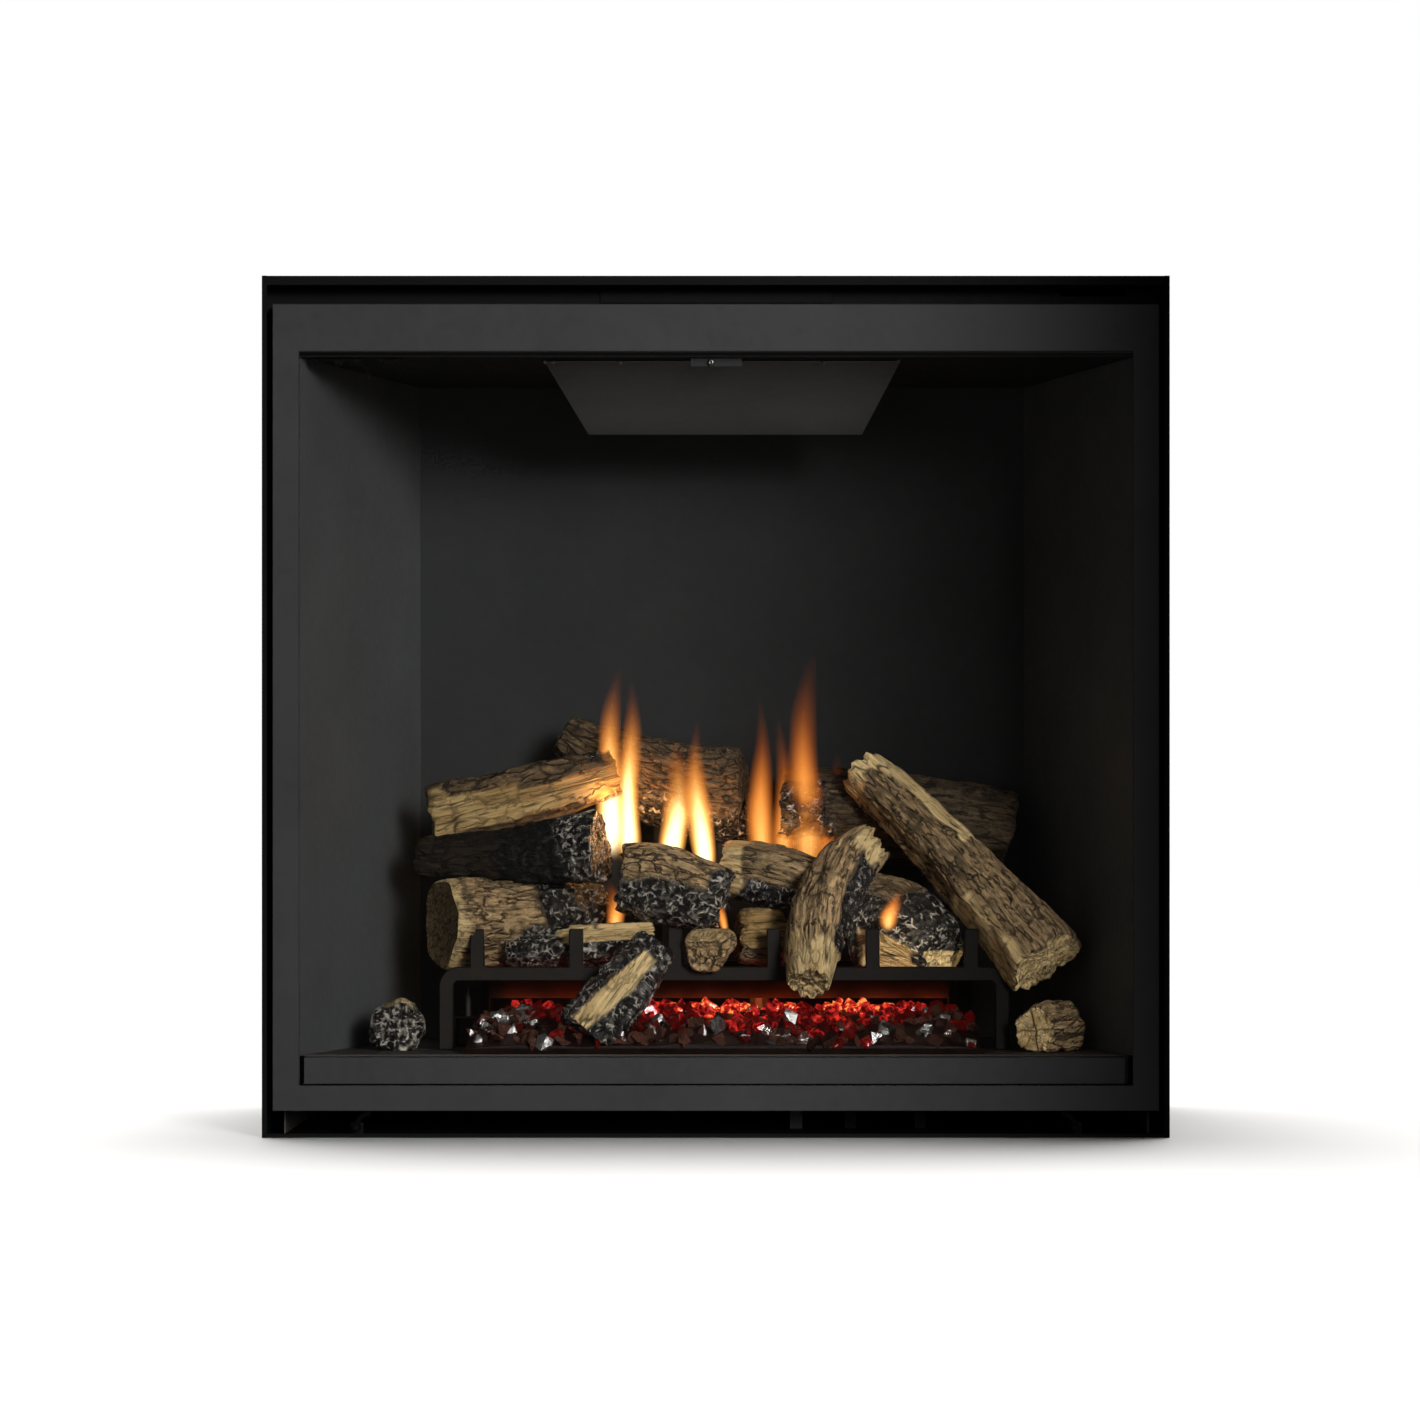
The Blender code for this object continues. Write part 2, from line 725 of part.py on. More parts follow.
def firebox_floor():
    half = SHELL_WIDTH / 2
    path = (
        (half, ON_BASE),
        (half, FLOOR_HEIGHT),
        (-half, FLOOR_HEIGHT),
        (-half, ON_BASE),
    )
    outline = sheet(path, FLOOR_SHEET)
    floor = add("firebox_floor", prism(outline, deep(FLOOR_START), deep(SHELL_BACK), "y"), firebox_paint())
    centre = (TUBE_PLACE, deep(TUBE_DEPTH), FLOOR_HEIGHT)
    cut(floor, rod(TUBE_RADIUS + 2 * CLEARANCE, centre, "z", -OVERRUN, OVERRUN, ROUND_SIDES))
    centre = (half, deep(GAS_LINE_DEPTH), KNOB_LEVEL)
    cut(floor, rod(GAS_LINE_RADIUS + 2 * CLEARANCE, centre, "x", -OVERRUN, OVERRUN, ROUND_SIDES))


def firebox_walls():
    front, back = deep(SHELL_FRONT), deep(BACK_DEPTH)
    left = (
        (-SHELL_WIDTH / 2, front),
        (-MOUTH_WIDTH / 2, front),
        (-BACK_WIDTH / 2, back),
        (-BACK_WIDTH / 2 - BACK_LAP, back),
    )
    right = tuple((-x, y) for x, y in reversed(left))
    for name, path in (("firebox_left_wall", left), ("firebox_right_wall", right)):
        add(name, prism(sheet(path, FIREBOX_SHEET), ON_FLOOR, UNDER_CEILING, "z"), firebox_paint())


def firebox_back_wall():
    half = BACK_WIDTH / 2 + BACK_LAP
    front = BACK_DEPTH + CLEARANCE
    shape = block(-half, half, front, front + FIREBOX_SHEET, ON_FLOOR, UNDER_CEILING)
    add("firebox_back_wall", shape, firebox_paint())


def firebox_ceiling():
    """The ceiling, with the exhaust hole and the two guides that the restrictor slides in."""
    path = (
        (deep(SHELL_FRONT), CEILING + CEILING_FLANGE),
        (deep(SHELL_FRONT), CEILING),
        (deep(SHELL_BACK), CEILING),
    )
    half = SHELL_WIDTH / 2
    ceiling = add("firebox_ceiling", prism(sheet(path, FIREBOX_SHEET), -half, half, "x"), firebox_paint())
    for side in (-1, 1):
        wall = side * (RESTRICTOR_WIDTH / 2 + CLEARANCE)
        plate_bottom = UNDER_CEILING - FIREBOX_SHEET - CLEARANCE
        guide = sheet(
            (
                (wall, CEILING + FIREBOX_SHEET / 2),
                (wall, plate_bottom),
                (wall - side * GUIDE_SHELF, plate_bottom),
            ),
            side * FIREBOX_SHEET,
        )
        join(ceiling, prism(guide, deep(GUIDE_START), deep(BACK_DEPTH), "y"))
    centre = (0, deep(FLUE_DEPTH), CEILING)
    cut(ceiling, rod(FLUE_HOLE_RADIUS, centre, "z", -OVERRUN, OVERRUN, COLLAR_SIDES))


def front_lip():
    top = FLOOR_HEIGHT - FLOOR_SHEET - CLEARANCE
    path = (
        (deep(FLOOR_START + LIP_LAP), top),
        (deep(LIP_DEPTH), top),
        (deep(LIP_DEPTH), WINDOW_BOTTOM + CLEARANCE),
    )
    half = LIP_WIDTH / 2
    lip = add("front_lip", prism(sheet(path, FIREBOX_SHEET), -half, half, "x"), charcoal_frame())
    bevel(lip, LIP_EDGE / 2)


def face_frame():
    half = FRAME_WIDTH / 2
    outer = (-half, half, FRAME_BOTTOM + FRAME_SHEET, FRAME_TOP - FACE_TOP_MARGIN)
    inner = (-MOUTH_WIDTH / 2, MOUTH_WIDTH / 2, WINDOW_BOTTOM - FRAME_EDGE, WINDOW_TOP)
    add("face_frame", picture_frame(outer, inner, flat_section(FACE_FRONT, FACE_BACK)), firebox_paint())


# Flue


def flue_box():
    """A box open at the bottom, with the hole for the exhaust at its top."""
    half = FLUE_BOX_WIDTH / 2
    front = FLUE_DEPTH - FLUE_BOX_LENGTH / 2
    back = FLUE_DEPTH + FLUE_BOX_LENGTH / 2
    bottom = CEILING_TOP + CLEARANCE
    box = add("flue_box", block(-half, half, front, back, bottom, FLUE_BOX_TOP), galvanised_steel())
    wall = CASING_SHEET
    inside = block(
        wall - half, half - wall, front + wall, back - wall, bottom - OVERRUN, FLUE_BOX_TOP - wall
    )
    cut(box, inside)
    centre = (0, deep(FLUE_DEPTH), FLUE_BOX_TOP)
    hole = INNER_COLLAR_RADIUS - 2 * COLLAR_WALL
    cut(box, rod(hole, centre, "z", -OVERRUN, OVERRUN, COLLAR_SIDES))


def collar(name, radius, bottom):
    """A flue collar: a tube with a flange at its foot."""
    bore = radius - COLLAR_WALL
    profile = (
        (bore, bottom),
        (radius + COLLAR_FLANGE, bottom),
        (radius + COLLAR_FLANGE, bottom + COLLAR_WALL),
        (radius, bottom + COLLAR_WALL),
        (radius, COLLAR_TOP),
        (bore, COLLAR_TOP),
    )
    centre = (0, deep(FLUE_DEPTH), 0)
    add(name, turned(profile, centre, "z", COLLAR_SIDES, ring=True), galvanised_steel())


def collars():
    collar("inner_collar", INNER_COLLAR_RADIUS, FLUE_BOX_TOP + CLEARANCE)
    collar("outer_collar", OUTER_COLLAR_RADIUS, ROOM_TOP - COLLAR_WALL)


def flue_restrictor():
    """A plate that slides back under the exhaust hole, with a tab folded down to hold it by."""
    bottom = UNDER_CEILING - FIREBOX_SHEET
    half = RESTRICTOR_WIDTH / 2
    front, back = RESTRICTOR_START, RESTRICTOR_START + RESTRICTOR_LENGTH
    start = (0, deep(front), bottom)
    shape = block(-half, half, front, back, bottom, UNDER_CEILING)
    plate = add("flue_restrictor", shape, galvanised_steel(), start)
    half_tab = half - 2 * GUIDE_SHELF
    tab_bottom = bottom - RESTRICTOR_TAB
    join(plate, block(-half_tab, half_tab, front, front + FIREBOX_SHEET, tab_bottom, bottom + FIREBOX_SHEET / 2))


def exhaust_baffle():
    """A sloping tapered plate with its sides folded up to the ceiling, open at the back."""
    front_half = BAFFLE_FRONT_WIDTH / 2
    back_half = BAFFLE_BACK_WIDTH / 2
    front, back = deep(BAFFLE_START), deep(BAFFLE_START + BAFFLE_LENGTH)
    bm = bmesh.new()

    def corner(side, half, y, drop):
        return bm.verts.new((BAFFLE_OFFSET + side * half, y, UNDER_CEILING - drop))

    rows = []
    for side in (-1, 1):
        rows.append(
            (
                corner(side, front_half, front, 0),
                corner(side, front_half, front, BAFFLE_FRONT_FLANGE),
                corner(side, back_half, back, BAFFLE_DROP),
                corner(side, back_half, back, 0),
            )
        )
    left, right = rows
    bm.faces.new(left[::-1])
    bm.faces.new(right)
    bm.faces.new((left[1], right[1], right[2], left[2]))
    baffle = add("exhaust_baffle", bm, firebox_paint())
    folded = baffle.modifiers.new("sheet", "SOLIDIFY")
    folded.thickness = BAFFLE_SHEET
    folded.offset = -1
    folded.use_even_offset = True


def baffle_bracket():
    path = (
        (deep(BRACKET_DEPTH), UNDER_CEILING - BRACKET_HEIGHT),
        (deep(BRACKET_DEPTH), UNDER_CEILING),
        (deep(BRACKET_DEPTH + BRACKET_SHELF), UNDER_CEILING),
    )
    half = BRACKET_WIDTH / 2
    outline = sheet(path, -FIREBOX_SHEET)
    add("baffle_bracket", prism(outline, -half, half, "x"), charcoal_frame())


def ceiling_clip():
    """A small leaning clip under the ceiling, near the left wall."""
    path = (
        (CLIP_PLACE - CLIP_WIDTH, UNDER_CEILING),
        (CLIP_PLACE, UNDER_CEILING),
        (CLIP_PLACE + CLIP_LEAN, UNDER_CEILING - CLIP_HEIGHT),
    )
    outline = sheet(path, -CLIP_SHEET)
    back = deep(CLIP_DEPTH + CLIP_LENGTH)
    add("ceiling_clip", prism(outline, deep(CLIP_DEPTH), back, "y"), charcoal_frame())


# Front


def front_frame(hinge):
    """The channel round the window, and the hem that hangs in the header's cradle."""
    half = FRAME_WIDTH / 2
    outer = (-half, half, FRAME_BOTTOM, FRAME_TOP)
    inner = (-WINDOW_WIDTH / 2, WINDOW_WIDTH / 2, WINDOW_BOTTOM, WINDOW_TOP)
    web = FRAME_SETBACK + FRAME_SHEET
    section = (
        ("outer", 0, FRAME_SETBACK),
        ("inner", 0, FRAME_SETBACK),
        ("inner", 0, FRAME_BACK),
        ("inner", FRAME_SHEET, FRAME_BACK),
        ("inner", FRAME_SHEET, web),
        ("outer", FRAME_SHEET, web),
        ("outer", FRAME_SHEET, SEAL_BACK),
        ("outer", 0, SEAL_BACK),
    )
    frame = add("front_frame", picture_frame(outer, inner, section), charcoal_frame(), hinge)
    bevel(frame, FRAME_EDGE)
    end = half - HEM_MARGIN
    flange_bottom = FRAME_TOP - FRAME_SHEET
    join(frame, block(-end, end, SEAL_BACK - FRAME_SHEET, HEM_DEPTH, flange_bottom, FRAME_TOP - FRAME_EDGE))
    centre = (0, deep(HEM_DEPTH), HEM_HEIGHT)
    join(frame, rod(HEM_RADIUS, centre, "x", -end, end, SMALL_SIDES))
    return frame


def glass_edges():
    return (
        -WINDOW_WIDTH / 2 - GLASS_LAP,
        WINDOW_WIDTH / 2 + GLASS_LAP,
        WINDOW_BOTTOM - GLASS_LAP,
        WINDOW_TOP + GLASS_LAP,
    )


def glass_pane(hinge):
    left, right, bottom, top = glass_edges()
    shape = block(left, right, GLASS_FRONT, GLASS_BACK, bottom, top)
    pane = add("glass_pane", shape, ceramic_glass(), hinge)
    bevel(pane, GLASS_EDGE)
    return pane


def glass_seal(hinge):
    left, right, bottom, top = outer = glass_edges()
    inner = (left + SEAL_WIDTH, right - SEAL_WIDTH, bottom + SEAL_WIDTH, top - SEAL_WIDTH)
    section = flat_section(SEAL_FRONT, SEAL_BACK)
    return add("glass_seal", picture_frame(outer, inner, section), seal_rope(), hinge)


def front():
    """The swinging front: its three pieces hang from an empty on the hem's axis."""
    hinge = (0, deep(HEM_DEPTH), HEM_HEIGHT)
    pivot = bpy.data.objects.new("front_hinge", None)
    pivot.location = hinge
    bpy.context.scene.collection.objects.link(pivot)
    for piece in (front_frame(hinge), glass_pane(hinge), glass_seal(hinge)):
        piece.location = (0, 0, 0)
        piece.parent = pivot


def latch(name, side):
    """A cam latch: a band that curves up and in from its pin to just under the frame."""
    place = side * LATCH_SPREAD
    middle = (place - side * LATCH_SWEEP, LATCH_HEIGHT)
    half = LATCH_BAND / 2
    outer = arc((0, 0), LATCH_SWEEP + half, 0, 90, BEND_STEPS)
    inner = arc((0, 0), LATCH_SWEEP - half, 90, 0, BEND_STEPS)
    outline = [(middle[0] + side * x, middle[1] + y) for x, y in outer + inner]
    back = LATCH_DEPTH + LATCH_THICKNESS
    pivot = (place, deep(LATCH_DEPTH), LATCH_HEIGHT)
    made = add(name, prism(outline, deep(LATCH_DEPTH), deep(back), "y"), bare_steel(), pivot)
    eye_centre = (place, 0, LATCH_HEIGHT)
    join(made, rod(LATCH_BAND, eye_centre, "y", deep(LATCH_DEPTH), deep(back), ROUND_SIDES))
    hole = LATCH_PIN_RADIUS + CLEARANCE
    low, high = deep(LATCH_DEPTH - OVERRUN), deep(back + OVERRUN)
    cut(made, rod(hole, eye_centre, "y", low, high, ROUND_SIDES))


# Grate


def finger_places():
    return [FINGER_SPREAD * (i / (FINGER_COUNT - 1) - 1 / 2) for i in range(FINGER_COUNT)]


def grate_outline():
    """The front piece from the front: two bent legs, the top bar and the fingers that stand on it."""
    half = GRATE_WIDTH / 2
    bend = GRATE_OUTER_BEND
    top = GRATE_HEIGHT
    points = [(-half, 0)]
    points += arc((-half + bend, top - bend), bend, 180, 90, BEND_STEPS)
    tip = top + FINGER_HEIGHT
    for place in finger_places():
        points += [(place - BAR / 2, top), (place - BAR / 2, tip), (place + BAR / 2, tip), (place + BAR / 2, top)]
    points += arc((half - bend, top - bend), bend, 90, 0, BEND_STEPS)
    points += [(half, 0), (half - BAR, 0)]
    inner = bend - BAR
    points += arc((half - bend, top - bend), inner, 0, 90, BEND_STEPS // 2)
    points += arc((-half + bend, top - bend), inner, 90, 180, BEND_STEPS // 2)
    points.append((-half + BAR, 0))
    return [(GRATE_OFFSET + x, ON_FLOOR + z * (GRATE_TOP - ON_FLOOR) / GRATE_HEIGHT) for x, z in points]


def grate_front():
    shape = prism(grate_outline(), deep(GRATE_START), deep(GRATE_START + BAR), "y")
    grate = add("grate_front", shape, grate_steel())
    bevel(grate, BAR_EDGE)
    return grate


def grate_rear():
    """The welded rear of the grate: rail and legs, a cross bar behind each finger, and pins for logs."""
    middle = GRATE_BACK + BAR / 2
    half = FINGER_SPREAD / 2 + BAR / 2
    bottom = GRATE_TOP - BAR

    def bar(across, front, back, low, high, width):
        place = GRATE_OFFSET + across
        return block(place - width / 2, place + width / 2, front, back, low, high)

    grate = add("grate_rear", bar(0, GRATE_BACK, GRATE_BACK + BAR, bottom, GRATE_TOP, 2 * half), grate_steel())
    for place in finger_places():
        join(grate, bar(place, GRATE_START + BAR + CLEARANCE, middle, bottom, GRATE_TOP, BAR))
    for place in (finger_places()[0], finger_places()[-1]):
        join(grate, bar(place, GRATE_BACK, GRATE_BACK + BAR, ON_FLOOR, bottom + BAR / 2, BAR))
    for across, back, up in PIN_SHARES:
        depth = GRATE_START + back * GRATE_LENGTH
        top = GRATE_TOP + up * GRATE_HEIGHT
        place = across * GRATE_WIDTH / 2
        join(grate, bar(place, depth - PIN / 2, depth + PIN / 2, GRATE_TOP - BAR / 2, top, PIN))
    return grate


# Burner


def burner_tray():
    """A folded pan on two end legs, with skirts front and back and two rows of ports in its top."""
    half = BURNER_WIDTH / 2
    path = (
        (half, ON_FLOOR),
        (half, BURNER_TOP),
        (-half, BURNER_TOP),
        (-half, ON_FLOOR),
    )
    path = [(BURNER_OFFSET + x, z) for x, z in path]
    front, back = BURNER_START, BURNER_START + BURNER_LENGTH
    tray = add("burner_tray", prism(sheet(path, BURNER_SHEET), deep(front), deep(back), "y"), bare_steel())
    for skirt in (front, back - BURNER_SHEET):
        join(tray, block(
            BURNER_OFFSET - half + BURNER_SHEET / 2, BURNER_OFFSET + half - BURNER_SHEET / 2,
            skirt, skirt + BURNER_SHEET, BURNER_TOP - BURNER_SKIRT, BURNER_TOP - BURNER_SHEET / 2,
        ))
    for row in (1 / 3, 2 / 3):
        for i in range(PORT_COUNT):
            across = BURNER_OFFSET + BURNER_WIDTH * ((i + 1 / 2) / PORT_COUNT - 1 / 2)
            centre = (across, deep(front + row * BURNER_LENGTH), BURNER_TOP)
            cut(tray, rod(PORT_RADIUS, centre, "z", -OVERRUN, OVERRUN, PORT_SIDES))


def bent_tube(name, points, radius, bend, low_sides):
    """A bmesh of a round bar along straight runs joined by bends."""
    path = [Vector(points[0])]
    for before, here, after in zip(points, points[1:], points[2:]):
        here = Vector(here)
        back = (Vector(before) - here).normalized()
        ahead = (Vector(after) - here).normalized()
        centre = here + (back + ahead) * bend
        for step in range(BEND_STEPS + 1):
            angle = math.pi / 2 * step / BEND_STEPS
            path.append(centre - ahead * bend * math.cos(angle) - back * bend * math.sin(angle))
    path.append(Vector(points[-1]))
    curve = bpy.data.curves.new(name, "CURVE")
    curve.dimensions = "3D"
    curve.bevel_depth = radius
    curve.bevel_resolution = low_sides
    curve.use_fill_caps = True
    line = curve.splines.new("POLY")
    line.points.add(len(path) - 1)
    for point, place in zip(line.points, path):
        point.co = (*place, 1)
    guide = bpy.data.objects.new(name + "_route", curve)
    bpy.context.scene.collection.objects.link(guide)
    bm = bmesh.new()
    bm.from_mesh(guide.to_mesh())
    guide.to_mesh_clear()
    bpy.data.objects.remove(guide)
    bmesh.ops.remove_doubles(bm, verts=bm.verts, dist=CLEARANCE / 10)
    return bm


def tube_route(past):
    """The burner tube's centre line, longer by a little at each end for its bore."""
    y = deep(TUBE_DEPTH)
    under_tray = BURNER_TOP - BURNER_SHEET - CLEARANCE
    return (
        (TUBE_PLACE, y, under_tray + past),
        (TUBE_PLACE, y, TUBE_LEVEL),
        (TUBE_INLET + past, y, TUBE_LEVEL),
    )


def air_hole(wide_by, high_by):
    """A cutter for the air hole that goes through the tube, or through the shutter on it."""
    middle = TUBE_INLET - SHUTTER_INSET - SHUTTER_WIDTH / 2
    half = AIR_HOLE_WIDTH / 2
    reach = TUBE_RADIUS + OVERRUN
    return block(
        middle - half - wide_by, middle + half + wide_by, TUBE_DEPTH - reach, TUBE_DEPTH + reach,
        TUBE_LEVEL - AIR_HOLE_HEIGHT / 2 - high_by, TUBE_LEVEL + AIR_HOLE_HEIGHT / 2 + high_by,
    )


def burner_tube():
    outside = bent_tube("burner_tube", tube_route(0), TUBE_RADIUS, TUBE_BEND, 3)
    tube = add("burner_tube", outside, bare_steel())
    cut(tube, bent_tube("burner_bore", tube_route(OVERRUN), TUBE_RADIUS - TUBE_WALL, TUBE_BEND, 3))
    cut(tube, air_hole(0, 0))


def air_shutter():
    bore = TUBE_RADIUS + CLEARANCE
    start = TUBE_INLET - SHUTTER_INSET - SHUTTER_WIDTH
    end = start + SHUTTER_WIDTH
    rim = bore + SHUTTER_WALL
    profile = ((bore, start), (rim, start), (rim, end), (bore, end))
    centre = (0, deep(TUBE_DEPTH), TUBE_LEVEL)
    shape = turned(profile, centre, "x", ROUND_SIDES, ring=True)
    shutter = add("air_shutter", shape, bare_steel(), (start, deep(TUBE_DEPTH), TUBE_LEVEL))
    cut(shutter, air_hole(SHUTTER_WALL, SHUTTER_WALL))


def gas_orifice():
    """The pipe from the back of the valve to the orifice in the tube's inlet."""
    corner_x = TUBE_INLET + TUBE_BEND
    route = (
        (corner_x, deep(VALVE_START + VALVE_LENGTH + CLEARANCE), TUBE_LEVEL),
        (corner_x, deep(TUBE_DEPTH), TUBE_LEVEL),
        (TUBE_INLET - ORIFICE_INSET, deep(TUBE_DEPTH), TUBE_LEVEL),
    )
    bm = bent_tube("gas_orifice", route, ORIFICE_PIPE_RADIUS, TUBE_BEND / 2, 2)
    pipe = add("gas_orifice", bm, brass())
    centre = (TUBE_INLET, deep(TUBE_DEPTH), TUBE_LEVEL)
    join(pipe, rod(ORIFICE_PIPE_RADIUS * 3 / 2, centre, "x", 0, ORIFICE_INSET, 6))


def pilot_bracket():
    """A folded stand with a shelf, and the pilot's hood on it."""
    half = PILOT_WIDTH / 2
    left, right = PILOT_PLACE - half, PILOT_PLACE + half
    shelf = ON_FLOOR + PILOT_SHELF
    path = ((right, ON_FLOOR), (left, ON_FLOOR), (left, shelf), (right, shelf))
    outline = sheet(path, -PILOT_SHEET)
    front = deep(PILOT_DEPTH - PILOT_LENGTH / 2)
    back = deep(PILOT_DEPTH + PILOT_LENGTH / 2)
    stand = add("pilot_bracket", prism(outline, front, back, "y"), bare_steel())
    centre = (PILOT_PLACE, deep(PILOT_DEPTH), shelf)
    hood = ((0, -PILOT_SHEET / 2), (HOOD_RADIUS, -PILOT_SHEET / 2), (HOOD_RADIUS, HOOD_HEIGHT - HOOD_RADIUS),
            (HOOD_RADIUS / 2, HOOD_HEIGHT), (0, HOOD_HEIGHT))
    join(stand, turned(hood, centre, "z", SMALL_SIDES))


def probes():
    """The spark electrode in its insulator, and the flame sensor, each beside the hood."""
    foot = ON_FLOOR + PILOT_SHELF + CLEARANCE
    insulator = ELECTRODE_HEIGHT * 2 / 3
    profile = (
        (0, 0),
        (INSULATOR_RADIUS, 0),
        (INSULATOR_RADIUS, insulator),
        (ELECTRODE_RADIUS, insulator + INSULATOR_RADIUS),
        (ELECTRODE_RADIUS, ELECTRODE_HEIGHT),
        (0, ELECTRODE_HEIGHT),
    )
    centre = (PILOT_PLACE, deep(PILOT_DEPTH - PROBE_SPACING), foot)
    add("spark_electrode", turned(profile, centre, "z", SMALL_SIDES), white_ceramic())
    tip = SENSOR_HEIGHT - SENSOR_RADIUS
    profile = ((0, 0), (SENSOR_RADIUS, 0), (SENSOR_RADIUS, tip), (SENSOR_RADIUS / 2, SENSOR_HEIGHT), (0, SENSOR_HEIGHT))
    centre = (PILOT_PLACE, deep(PILOT_DEPTH + PROBE_SPACING), foot)
    add("flame_sensor", turned(profile, centre, "z", SMALL_SIDES), bare_steel())


# Embers


def ember_tray():
    half = TRAY_WIDTH / 2
    back = TRAY_START + TRAY_LENGTH
    path = (
        (deep(TRAY_START), ON_FLOOR + TRAY_RIM),
        (deep(TRAY_START), ON_FLOOR),
        (deep(back), ON_FLOOR),
        (deep(back), ON_FLOOR + TRAY_RIM),
    )
    outline = sheet(path, TRAY_SHEET)
    left, right = GRATE_OFFSET - half, GRATE_OFFSET + half
    return add("ember_tray", prism(outline, left, right, "x"), grate_steel())


def ember_bed():
    """The heap of glass embers, low in front and high at the back, with a lumpy top."""
    half = TRAY_WIDTH / 2 - BED_MARGIN
    start = TRAY_START + TRAY_SHEET + CLEARANCE
    length = TRAY_LENGTH - 2 * (TRAY_SHEET + CLEARANCE)
    base = TRAY_TOP + CLEARANCE
    bm = bmesh.new()
    top, bottom = [], []
    for row in range(BED_ROWS + 1):
        back = row / BED_ROWS
        height = BED_FRONT_HEIGHT + (BED_BACK_HEIGHT - BED_FRONT_HEIGHT) * math.sin(back * math.pi / 2)
        top.append([])
        bottom.append([])
        for column in range(BED_COLUMNS + 1):
            across = column / BED_COLUMNS * 2 - 1
            x, y = GRATE_OFFSET + half * across, deep(start + length * back)
            lump = noise.noise(Vector((x, y, 0)) / BED_LUMP_SPACING)
            slump = 1 - abs(across) ** 12 / 2
            top[row].append(bm.verts.new((x, y, base + height * slump + BED_LUMP * lump)))
            bottom[row].append(bm.verts.new((x, y, base)))
    for layer in (top, bottom):
        for front_row, back_row in zip(layer, layer[1:]):
            for i in range(BED_COLUMNS):
                bm.faces.new((front_row[i], front_row[i + 1], back_row[i + 1], back_row[i]))
    edges = (
        (top[0], bottom[0]),
        (top[-1], bottom[-1]),
        ([row[0] for row in top], [row[0] for row in bottom]),
        ([row[-1] for row in top], [row[-1] for row in bottom]),
    )
    for upper, lower in edges:
        for i in range(len(upper) - 1):
            bm.faces.new((upper[i], upper[i + 1], lower[i + 1], lower[i]))
    return add("ember_bed", bm, ember_glass())


def ember_light():
    """The light bar behind the embers: a flat base under a half-round lens."""
    middle = LIGHT_START + LIGHT_LENGTH / 2
    radius = LIGHT_LENGTH / 2
    outline = [(deep(LIGHT_START), ON_FLOOR), (deep(LIGHT_START + LIGHT_LENGTH), ON_FLOOR)]
    outline += arc((deep(middle), ON_FLOOR + LIGHT_BASE), radius, 0, 180, BEND_STEPS * 2)
    half = LIGHT_WIDTH / 2
    add("ember_light", prism(outline, -half, half, "x"), light_lens())


# Controls


def knob_places():
    return (VALVE_PLACE - KNOB_SPACING / 2, VALVE_PLACE + KNOB_SPACING / 2)


def gas_valve():
    """The valve body on two feet, with a boss and a shaft for each knob."""
    half = VALVE_WIDTH / 2
    top = VALVE_BOTTOM + VALVE_HEIGHT
    back = VALVE_START + VALVE_LENGTH
    shape = block(VALVE_PLACE - half, VALVE_PLACE + half, VALVE_START, back, VALVE_BOTTOM, top)
    valve = add("gas_valve", shape, galvanised_steel())
    bevel(valve, VALVE_EDGE)
    for side in (-1, 1):
        outer = VALVE_PLACE + side * (half - VALVE_EDGE)
        inner = outer - side * VALVE_FOOT
        low, high = min(outer, inner), max(outer, inner)
        foot_front = VALVE_START + VALVE_EDGE
        join(valve, block(low, high, foot_front, back - VALVE_EDGE, ON_BASE, VALVE_BOTTOM + VALVE_EDGE))
    for place in knob_places():
        profile = (
            (0, -SHAFT_LENGTH),
            (SHAFT_RADIUS, -SHAFT_LENGTH),
            (SHAFT_RADIUS, -BOSS_LENGTH),
            (BOSS_RADIUS, -BOSS_LENGTH),
            (BOSS_RADIUS, VALVE_EDGE),
            (0, VALVE_EDGE),
        )
        join(valve, turned(profile, (place, deep(VALVE_START), KNOB_LEVEL), "y", ROUND_SIDES))


def knob(name, place):
    """A fluted knob with a skirt, bored from behind for its shaft."""
    points = []
    steps = KNOB_FLUTES * 4
    for i in range(steps):
        angle = math.tau * i / steps
        radius = KNOB_RADIUS - KNOB_FLUTE / 2 + KNOB_FLUTE / 2 * math.cos(KNOB_FLUTES * angle)
        points.append((place + radius * math.cos(angle), KNOB_LEVEL + radius * math.sin(angle)))
    back = KNOB_FRONT + KNOB_THICKNESS
    pivot = (place, deep(KNOB_FRONT), KNOB_LEVEL)
    made = add(name, prism(points, deep(KNOB_FRONT), deep(back), "y"), black_plastic(), pivot)
    bevel(made, KNOB_EDGE / 2)
    skirt = (
        (0, -KNOB_SKIRT),
        (KNOB_RADIUS + KNOB_EDGE, -KNOB_SKIRT),
        (KNOB_RADIUS + KNOB_EDGE, -KNOB_EDGE / 2),
        (0, -KNOB_EDGE / 2),
    )
    centre = (place, deep(back), KNOB_LEVEL)
    join(made, turned(skirt, centre, "y", ROUND_SIDES))
    depth = SHAFT_LENGTH - BOSS_LENGTH + CLEARANCE
    cut(made, rod(SHAFT_RADIUS + CLEARANCE, centre, "y", -depth, OVERRUN, ROUND_SIDES))


